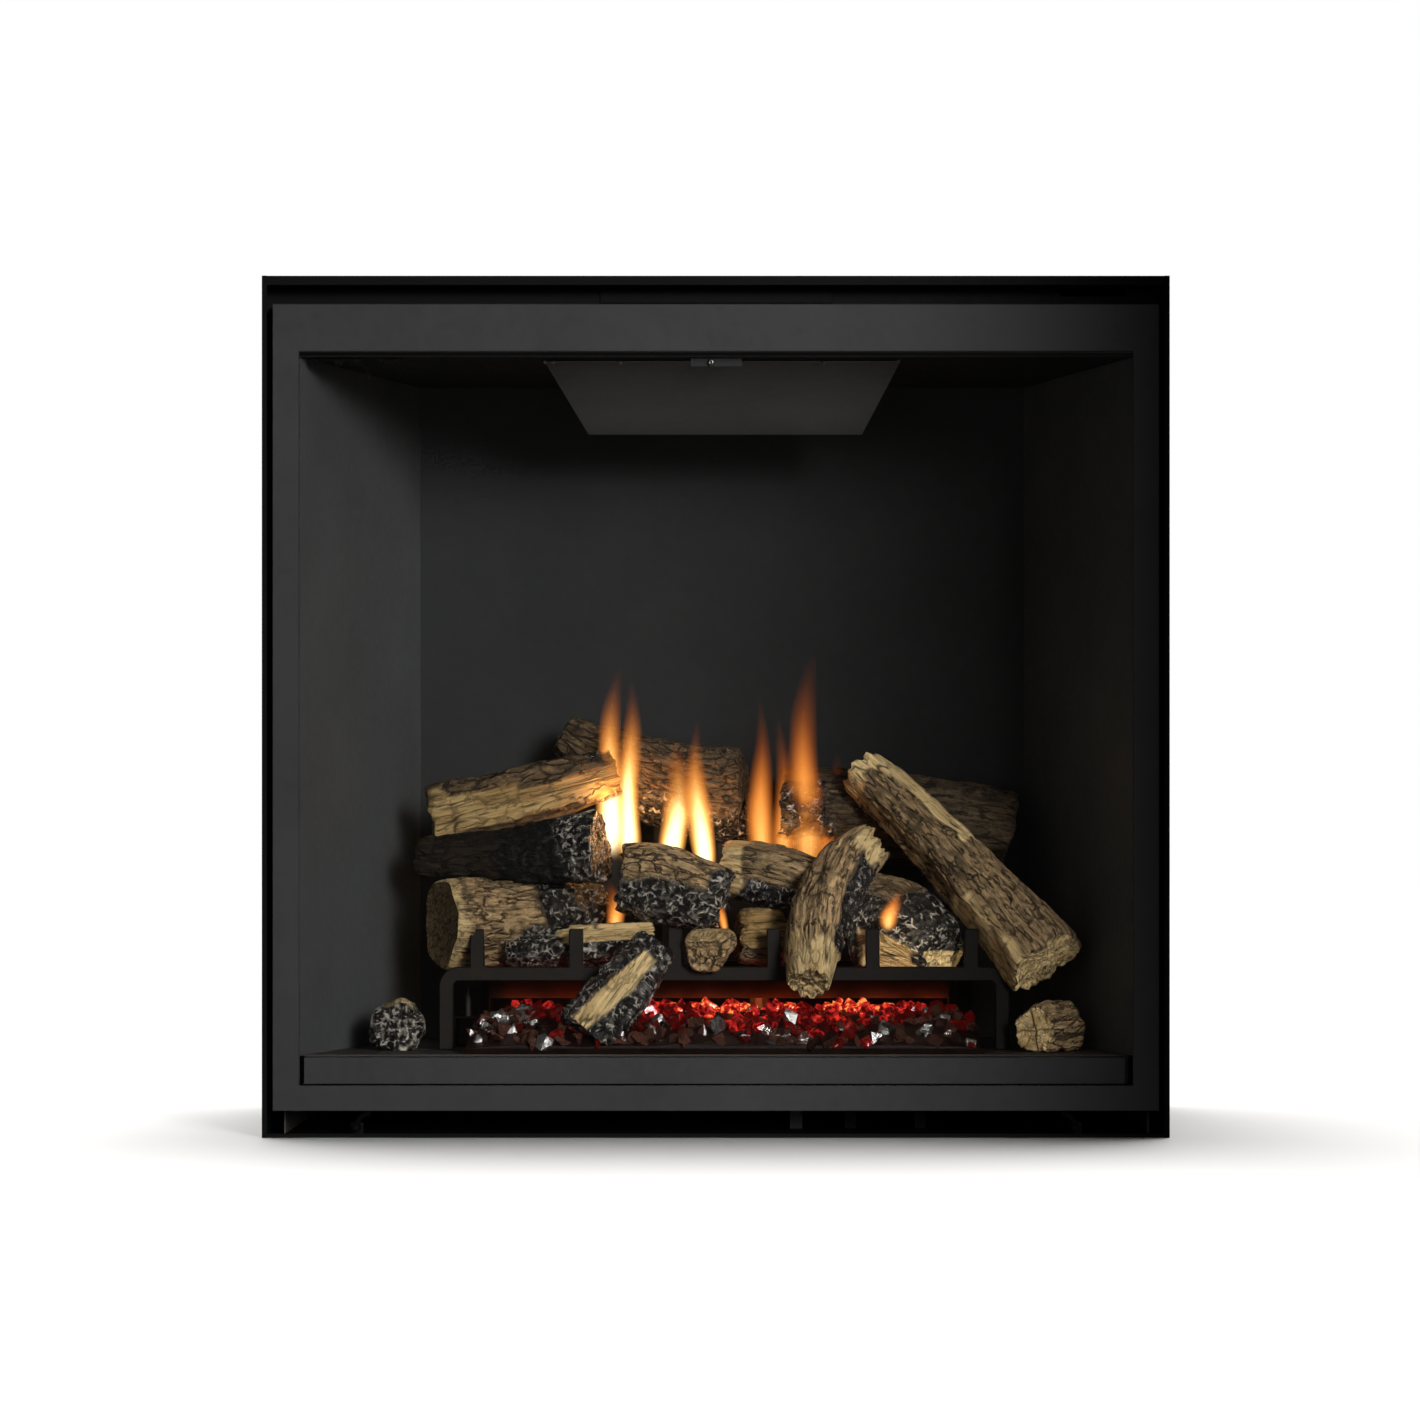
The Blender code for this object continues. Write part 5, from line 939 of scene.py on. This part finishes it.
def flame(number, foot, tip, width, heat, material):
    """Nested shells from a faint skin to a hot heart, drawn up to a point."""
    foot, tip = (np.array((x, FRONT + depth, z)) for x, depth, z in (foot, tip))
    foot_fade = 0.2 if heat > 0.8 else 0.4
    vertices, faces, warmths, veils = [], [], [], []
    for shell in range(FLAME_SHELLS):
        inner = shell / (FLAME_SHELLS - 1)
        top, base = 1 - 0.46 * inner, 0.04 * inner
        first = len(vertices)
        for row in range(FLAME_ROWS):
            local = row / (FLAME_ROWS - 1)
            rise = base + (top - base) * local
            belly = (local + 0.02) ** 0.34 * (1 - local) ** 0.72 * 1.5
            wide = width / 2 * (1 - 0.78 * inner) * belly
            sway = (math.sin(rise * 4.4 + number * 2.1) - math.sin(number * 2.1)) * width * 0.22 * rise
            centre = foot + (tip - foot) * rise + np.array((sway, sway * 0.4, 0))
            warmth = max(0.0, min(1.0, heat * (0.5 + 0.75 * inner) * (1.14 - 0.78 * rise ** 1.4)))
            risen = ease(rise, base, base + foot_fade)
            veil = (0.07 + 0.17 * inner) * risen * (1 - ease(local, 0.45, 1.0) * 0.8)
            for i in range(FLAME_SIDES):
                angle = math.tau * i / FLAME_SIDES
                lick = 1 + 0.13 * math.sin(2 * angle + rise * 7 + number)
                lick += 0.07 * math.sin(5 * angle + rise * 11)
                vertices.append(centre + np.array((math.cos(angle), 0.7 * math.sin(angle), 0)) * wide * lick)
            warmths += [warmth] * FLAME_SIDES
            veils += [veil] * FLAME_SIDES
        faces += [tuple(first + i for i in face) for face in tube_faces(FLAME_ROWS, FLAME_SIDES)]
    new_piece(f"flame_{number}", vertices, faces, material, warmth=warmths, veil=veils)


# Lights


def new_light(name, kind, power, colour=(1, 1, 1), lit=(), **settings):
    """A light with its settings. If lit has words, it falls only on pieces whose names start so."""
    light = bpy.data.lights.new(name, kind)
    light.energy, light.color = power, colour
    for setting, value in settings.items():
        setattr(light, setting, value)
    made = bpy.data.objects.new(name, light)
    bpy.context.scene.collection.objects.link(made)
    if lit:
        pieces = bpy.data.collections.new("lit_by_" + name)
        for piece in bpy.context.scene.objects:
            if piece.name.startswith(lit):
                pieces.objects.link(piece)
        made.light_linking.receiver_collection = pieces
    return made


def lamp(name, place, power, colour, radius, *lit):
    """A small round light."""
    new_light(name, "POINT", power, colour, lit, shadow_soft_size=radius).location = place


def softbox(name, size, power, spread, aim, toward, distance, *lit, colour=(1, 1, 1)):
    """A rectangular light at a distance from what it aims at, with its beam's spread in degrees."""
    made = new_light(
        name, "AREA", power, colour, lit, shape="RECTANGLE", size=size[0], size_y=size[1],
        spread=math.radians(spread),
    )
    toward = Vector(toward).normalized()
    made.location = Vector(aim) - toward * distance
    made.rotation_euler = toward.to_track_quat("-Z", "Y").to_euler()
    made.visible_camera = False


# Operators


class FIREPLACE_OT_casing(bpy.types.Operator):
    """Powder coats the casing and the header behind the frame's top edge"""

    bl_idname = "fireplace.casing"
    bl_label = "Casing"

    def execute(self, context):
        coat = painted_steel("black_powder_coat", context.scene.fireplace_paint.casing, 0.5, 0.08)
        dress(
            coat, "casing_base", "casing_left", "casing_right", "casing_back", "casing_top", "header_panel",
            "header_plate",
        )
        return {"FINISHED"}


class FIREPLACE_OT_front(bpy.types.Operator):
    """Paints the swinging frame and the front lip, and glazes the frame"""

    bl_idname = "fireplace.front"
    bl_label = "Front frame and glass"

    def execute(self, context):
        colour = context.scene.fireplace_paint.frame
        dress(painted_steel("satin_charcoal_paint", colour, 0.4, 0.3), "front_frame")
        # A lighter copy of the frame's paint: painted light on the front lip.
        dress(painted_steel("painted_light_lip_paint", shade(colour, 1.25), 0.38, 0.35), "front_lip")
        dress(coated_glass(), "glass_pane")
        dress(woven_tape(), "glass_seal")
        steel = worked_metal("black_oxide_steel_strip", "#0b0b0c", "#131314", 0.6)
        dress(steel, "latch_left", "latch_right")
        return {"FINISHED"}


class FIREPLACE_OT_firebox(bpy.types.Operator):
    """Paints the firebox, its face frame and the exhaust baffle, with painted shade on the back wall and the
    ceiling and painted light on the baffle
    """

    bl_idname = "fireplace.firebox"
    bl_label = "Firebox"

    def execute(self, context):
        colour = context.scene.fireplace_paint.firebox
        walls = painted_steel("matt_high_heat_paint", colour, 0.62, 0.25, grit=3 * MM)
        dress(walls, "firebox_left_wall", "firebox_right_wall", "face_frame")
        warm = shade(colour, (0.72, 0.6, 0.54))
        dress(painted_steel("heat_browned_paint", warm, 0.6, 0.2), "firebox_floor")
        # A darker copy of the firebox paint: painted shade on the ceiling.
        dress(painted_steel("painted_shade_ceiling_paint", shade(colour, 0.25), 0.7, 0.2), "firebox_ceiling")
        # A darker copy of the firebox paint: painted shade on the back wall, the baffle bracket and the
        # ceiling clip.
        back = painted_steel("painted_shade_firebox_paint", shade(colour, 0.34), 0.7, 0.2, grit=3 * MM)
        dress(back, "firebox_back_wall", "baffle_bracket", "ceiling_clip")
        # A lighter copy of the firebox paint: painted light on the baffle, which sits in the top rail's
        # shadow.
        dress(painted_steel("painted_light_baffle_paint", shade(colour, 1.1), 0.6, 0.25), "exhaust_baffle")
        return {"FINISHED"}


# Screws: X, depth behind the front and height in metres, and radius in mm.
SCREWS = (
    (-0.0058, 0.0300, 0.8525, 4.2), (-0.1895, 0.0500, 0.8545, 2.4), (-0.1810, 0.0500, 0.8545, 2.4),
    (-0.1060, 0.0500, 0.8540, 2.2), (0.1180, 0.0500, 0.8540, 2.2),
)
SCREW_SIDES = 20
# A pan head's outline, from its rim to the hollow for the driver: shares of its radius, out and up.
PAN_HEAD = ((1.0, 0.0), (1.0, 0.35), (0.85, 0.62), (0.5, 0.74), (0.36, 0.74), (0.3, 0.4), (0.05, 0.35))
SEAL_STEPS, SEAL_TOP, SEAL_DEPTH = 90, 0.858, 0.030


def pan_head(name, place, radius, material):
    """A pan-head screw that faces the front."""
    turns = [math.tau * i / SCREW_SIDES for i in range(SCREW_SIDES)]
    vertices = [
        (place[0] + math.cos(turn) * share * radius, place[1] - rise * radius,
         place[2] + math.sin(turn) * share * radius)
        for share, rise in PAN_HEAD for turn in turns
    ]
    new_piece(name, vertices, tube_faces(len(PAN_HEAD), SCREW_SIDES), material, slot="bare_steel")


def frayed_seal(name, first, last, material):
    """The frayed edge of the tape that seals the firebox's top, hanging just below it."""
    thickness = 1.5 * MM
    vertices, faces = [], []
    for i in range(SEAL_STEPS + 1):
        x = first + (last - first) * i / SEAL_STEPS
        fray = 6 * MM + 5 * MM * noise.noise((x * 90, 0, 0)) + 3 * MM * noise.noise((x * 320, 5, 0))
        curl = 1.2 * MM * noise.noise((x * 120, 0, 4))
        low = SEAL_TOP - max(1.5 * MM, fray)
        for y, z in ((0, SEAL_TOP), (thickness, SEAL_TOP), (thickness + curl, low), (curl, low)):
            vertices.append((x, FRONT + SEAL_DEPTH + y, z))
        if i:
            a, b = 4 * i - 4, 4 * i
            faces += [(a + j, b + j, b + (j + 1) % 4, a + (j + 1) % 4) for j in range(4)]
    faces += [(3, 2, 1, 0), tuple(4 * SEAL_STEPS + j for j in range(4))]
    new_piece(name, vertices, faces, material, slot="glass_seal")


class FIREPLACE_OT_fittings(bpy.types.Operator):
    """Adds the small screws over the baffle and the frayed seal behind the top rail"""

    bl_idname = "fireplace.fittings"
    bl_label = "Screws and seal"

    def execute(self, context):
        zinc = worked_metal("zinc_plated_screw_steel", "#77746d", "#a09c93", 0.35)
        for number, (x, depth, z, radius) in enumerate(SCREWS, start=1):
            pan_head(f"screw_{number}", (x, FRONT + depth, z), radius * MM, zinc)
        # The frayed seal is a dark grey-brown tape.
        sooty = worked_metal("dark_glass_fibre_tape", "#1b1a19", "#34322f", 0.9)
        frayed_seal("frayed_seal_left", -0.4460, -0.3920, sooty)
        frayed_seal("frayed_seal_middle", -0.3700, -0.3450, sooty)
        return {"FINISHED"}


class FIREPLACE_OT_flue(bpy.types.Operator):
    """Galvanises the flue box, its collars and the restrictor plate"""

    bl_idname = "fireplace.flue"
    bl_label = "Flue"

    def execute(self, context):
        dress(galvanised_sheet(), "flue_box", "inner_collar", "outer_collar", "flue_restrictor")
        return {"FINISHED"}


class FIREPLACE_OT_grate(bpy.types.Operator):
    """Paints the grate that carries the logs"""

    bl_idname = "fireplace.grate"
    bl_label = "Grate"

    def execute(self, context):
        dress(grate_steel(context.scene.fireplace_paint.grate), "grate_front", "grate_rear")
        return {"FINISHED"}


class FIREPLACE_OT_burner(bpy.types.Operator):
    """Finishes the burner, its air tube and the pilot"""

    bl_idname = "fireplace.burner"
    bl_label = "Burner and pilot"

    def execute(self, context):
        rolled = (6.0, 1.0, 1.0)
        aluminised = worked_metal("aluminised_steel_sheet", "#5a5550", "#7c766f", 0.5, rolled)
        dress(aluminised, "burner_tube", "air_shutter")
        heated = worked_metal("heat_tinted_steel_sheet", "#130d0a", "#271912", 0.55, rolled)
        dress(heated, "burner_tray", "ember_tray", "pilot_bracket")
        turned = (1.0, 8.0, 1.0)
        dress(worked_metal("turned_brass", "#a8843f", "#c8a45c", 0.3, turned), "gas_orifice", "gas_line")
        dress(glazed_ceramic(), "spark_electrode")
        # The flame sensor's probe is a dark brown-grey.
        dress(worked_metal("dark_stainless_probe", "#1d1916", "#2d2823", 0.6), "flame_sensor")
        return {"FINISHED"}


class FIREPLACE_OT_controls(bpy.types.Operator):
    """Finishes the gas valve, its knobs and the igniter"""

    bl_idname = "fireplace.controls"
    bl_label = "Controls"

    def execute(self, context):
        even = (1.0, 1.0, 1.0)
        dress(worked_metal("black_passivated_zinc", "#19191a", "#252628", 0.5, even, 3 * MM), "gas_valve")
        dress(moulded_plastic("moulded_black_phenolic", "#0c0c0e", 0.6), "gas_knob", "flame_knob", "igniter")
        dress(moulded_plastic("moulded_red_nylon", "#a81814", 0.35), "igniter_button")
        return {"FINISHED"}


class FIREPLACE_OT_logs(bpy.types.Operator):
    """Casts the logs over their solids, with bark, split faces, char and broken ends"""

    bl_idname = "fireplace.logs"
    bl_label = "Logs"

    def execute(self, context):
        settings = context.scene.fireplace_logs
        material = fibre_log(settings)
        for seed, (name, facts) in enumerate(LOGS.items(), start=1):
            fine_log(name, facts, seed, material, settings)
        return {"FINISHED"}


# Painted glow of the chips, from unlit to brightly lit, as linear red, green and blue.
EMBER_GLOW = (
    (0.0, (0, 0, 0)), (0.35, (0.05, 0.001, 0.001)), (0.7, (0.5, 0.016, 0.014)), (0.88, (0.9, 0.06, 0.02)),
    (1.0, (1.0, 0.34, 0.08)),
)


class FIREPLACE_OT_embers(bpy.types.Operator):
    """Heaps crushed glass on the tray, over its light"""

    bl_idname = "fireplace.embers"
    bl_label = "Crushed glass"

    def execute(self, context):
        settings = context.scene.fireplace_fire
        finishes = {
            "red": crushed_glass(
                "crushed_red_glass", "#1c0504", "#520f0a", 0.3, glow=EMBER_GLOW, strength=settings.glow
            ),
            "smoky": crushed_glass("crushed_smoky_glass", "#24140e", "#633f33", 0.3, roughness=0.08),
            "mirrored": crushed_glass(
                "crushed_mirrored_glass", "#5f5d5a", "#b4b2ae", 0.0, roughness=0.3, metal=0.85,
                relief=2.5 * MM,
            ),
        }
        heaps = scatter(random.Random(4), settings.chips, settings.chip, *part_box("ember_bed"), chip_kind)
        for kind, (points, faces, tints, glows) in sorted(heaps.items()):
            new_piece(
                f"ember_glass_{kind}", points, faces, finishes[kind], slot="ember_glass", smooth=False,
                tint=tints, lit=glows,
            )
        dress(crushed_glass("packed_crushed_glass", "#160806", "#160806", 0.0, roughness=0.35), "ember_bed")
        dress(lit_lens(settings.glow * 0.8), "ember_light")
        return {"FINISHED"}


class FIREPLACE_OT_flames(bpy.types.Operator):
    """Raises the flames among the logs, with the warm light that they give"""

    bl_idname = "fireplace.flames"
    bl_label = "Flames"

    def execute(self, context):
        material = burning_gas(context.scene.fireplace_fire.brightness)
        material.cycles.emission_sampling = "NONE"
        lit = ("log_rear", "log_long", "log_centre", "log_mid", "log_lower_left", "log_small")
        for number, (foot, tip, width, heat) in enumerate(FLAMES, start=1):
            flame(number, foot, tip, width, heat, material)
            if tip[2] > TALL_FLAME:
                heart = (foot[0], FRONT + foot[1] - 14 * MM, foot[2] + 0.32 * (tip[2] - foot[2]))
                lamp(f"flame_light_{number}", heart, 0.2 * heat ** 3, (1.0, 0.44, 0.13), 12 * MM, *lit)
        heart = (0.196, FRONT + 0.062, 0.205)
        lamp("low_flame_light", heart, 0.28, (1.0, 0.88, 0.66), 8 * MM, "log_lower_right")
        # Small lights in front of the glass bed glint on its chips.
        for number, x in enumerate((-0.24, -0.12, 0.012, 0.144, 0.264), start=1):
            place = (x, FRONT - 0.05, 0.30 + 0.02 * (number % 2))
            lamp(f"glint_{number}", place, 0.28, (1.0, 0.95, 0.9), 9 * MM, "ember_")
        softbox("ember_glow", (0.50, 0.02), 0.32, 170, (0.007, FRONT + 0.203, 0.140), (0, 1, 0.35), 0.012,
                "burner_", "grate_", colour=(1.0, 0.2, 0.06))
        return {"FINISHED"}


# The stage. The camera stands where the photograph was taken from, and its frame is moved by pixels
# of the photograph.

FLOOR_RADIUS, FLOOR_SIDES = 14, 64
EYE = (0.0923, -5.48, 0.378)
LENS, SENSOR = 120.3, 36
PHOTO_SIZE, FRAME_LEFT, FRAME_UP = 1420, 90, 83
SLOPE = (-0.418, 0.876, -0.242)
SHELL = ("casing_", "flue_", "inner_collar", "outer_collar", "gas_line")


def pale_floor(colour):
    """A plain pale floor of sealed board, with clouds that can hardly be seen."""
    material, node = new_material("plain_pale_floor")
    place = node("TexCoord", output="Object")
    clouds = node("TexNoise", {"Vector": place, "Scale": 0.4, "Detail": 2.0})
    return surfaced(material, {
        "Base Color": node("ValToRGB", [clouds], ramp=((0.3, shade(colour, 0.985)), (0.7, colour))),
        "Roughness": 0.9, "Specular IOR Level": 0.1,
    })


class FIREPLACE_OT_stage(bpy.types.Operator):
    """Sets the pale floor, the soft lights and the camera"""

    bl_idname = "fireplace.stage"
    bl_label = "Floor, lights and camera"

    def execute(self, context):
        scene = context.scene
        settings = scene.fireplace_stage
        scene.view_settings.view_transform = "Standard"
        scene.cycles.transparent_max_bounces = 96
        turns = [math.tau * i / FLOOR_SIDES for i in range(FLOOR_SIDES)]
        ring = [(FLOOR_RADIUS * math.cos(turn), FLOOR_RADIUS * math.sin(turn), 0) for turn in turns]
        mesh = bpy.data.meshes.new("floor")
        mesh.from_pydata(ring, [], [tuple(range(FLOOR_SIDES))])
        mesh.materials.append(pale_floor(settings.floor))
        floor = bpy.data.objects.new("floor", mesh)
        scene.collection.objects.link(floor)
        # The photograph was lit in a dark room, so the floor throws no light back on the fireplace.
        floor.visible_diffuse = False
        floor.visible_glossy = False

        scene.world = bpy.data.worlds.new("room")
        scene.world.use_nodes = True
        tree = scene.world.node_tree
        tree.nodes.clear()
        seen = add_node(tree, "LightPath", output="Is Camera Ray")
        strength = add_node(tree, "MapRange", (seen, 0.0, 1.0, settings.sky, 1.0))
        sky = add_node(tree, "Background", {"Color": (1, 1, 1), "Strength": strength})
        add_node(tree, "OutputWorld", {"Surface": sky})

        overhead = new_light("soft_top_light", "SUN", settings.top, angle=math.radians(40))
        overhead.rotation_euler = (math.radians(-19), 0, 0)
        softbox("softbox_with_grid", (1.15, 1.75), settings.key, 24, (-0.34, FRONT, 0.45), SLOPE, 1.5)
        softbox("log_light", (0.42, 0.5), 0.36, 20, (0.29, FRONT + 0.12, 0.27), SLOPE, 1.5, "log_")
        softbox("baffle_light", (0.42, 0.03), 0.06, 5, (0.006, FRONT + 0.16, 0.800), (0.03, 0.98, 0.2), 2.6,
                "exhaust_baffle", "baffle_bracket")
        # These light the inside, the sides and the back, so that nothing is lost in black.
        softbox("inner_light", (1.0, 0.9), 1.3, 180, (0, FRONT, 0.5), (0, 1, 0), 1.2,
                "firebox_", "log_", "face_frame", "ceiling_clip")
        for name, width, power, aim, toward in (
            ("left_light", 1.2, 26, (-0.5, 0.25, 0.5), (0.9, -0.35, -0.25)),
            ("right_light", 1.2, 26, (0.5, 0.25, 0.5), (-0.9, -0.35, -0.25)),
            ("back_light", 1.4, 30, (0, 0.28, 0.5), (0.2, -1, -0.35)),
        ):
            softbox(name, (width, 1.2), power, 180, aim, toward, 2.2, *SHELL)

        lens = bpy.data.cameras.new("camera")
        lens.sensor_width, lens.lens = SENSOR, LENS
        lens.shift_x, lens.shift_y = -FRAME_LEFT / PHOTO_SIZE, FRAME_UP / PHOTO_SIZE
        camera = bpy.data.objects.new("camera", lens)
        camera.location = EYE
        camera.rotation_euler = (math.radians(90), 0, 0)
        scene.collection.objects.link(camera)
        scene.camera = camera
        return {"FINISHED"}


OPERATORS = (
    FIREPLACE_OT_casing,
    FIREPLACE_OT_front,
    FIREPLACE_OT_firebox,
    FIREPLACE_OT_fittings,
    FIREPLACE_OT_flue,
    FIREPLACE_OT_grate,
    FIREPLACE_OT_burner,
    FIREPLACE_OT_controls,
    FIREPLACE_OT_logs,
    FIREPLACE_OT_embers,
    FIREPLACE_OT_flames,
    FIREPLACE_OT_stage,
)


class FIREPLACE_PT_panel(bpy.types.Panel):
    """Lists the settings and the operators"""

    bl_idname = "FIREPLACE_PT_panel"
    bl_label = "Gas fireplace"
    bl_space_type = "VIEW_3D"
    bl_region_type = "UI"
    bl_category = "Fireplace"

    def draw(self, context):
        for name in SETTINGS:
            box = self.layout.box()
            for setting in getattr(context.scene, name).bl_rna.properties:
                if setting.identifier not in ("rna_type", "name"):
                    box.prop(getattr(context.scene, name), setting.identifier)
        for operator in OPERATORS:
            self.layout.operator(operator.bl_idname)


CLASSES = (*SETTINGS.values(), *OPERATORS, FIREPLACE_PT_panel)


def register():
    for item in CLASSES:
        bpy.utils.register_class(item)
    for name, group in SETTINGS.items():
        setattr(bpy.types.Scene, name, PointerProperty(type=group))


def unregister():
    for name in SETTINGS:
        delattr(bpy.types.Scene, name)
    for item in reversed(CLASSES):
        bpy.utils.unregister_class(item)


def main():
    register()
    for operator in OPERATORS:
        group, call = operator.bl_idname.split(".")
        getattr(getattr(bpy.ops, group), call)()


if __name__ == "__main__":
    main()
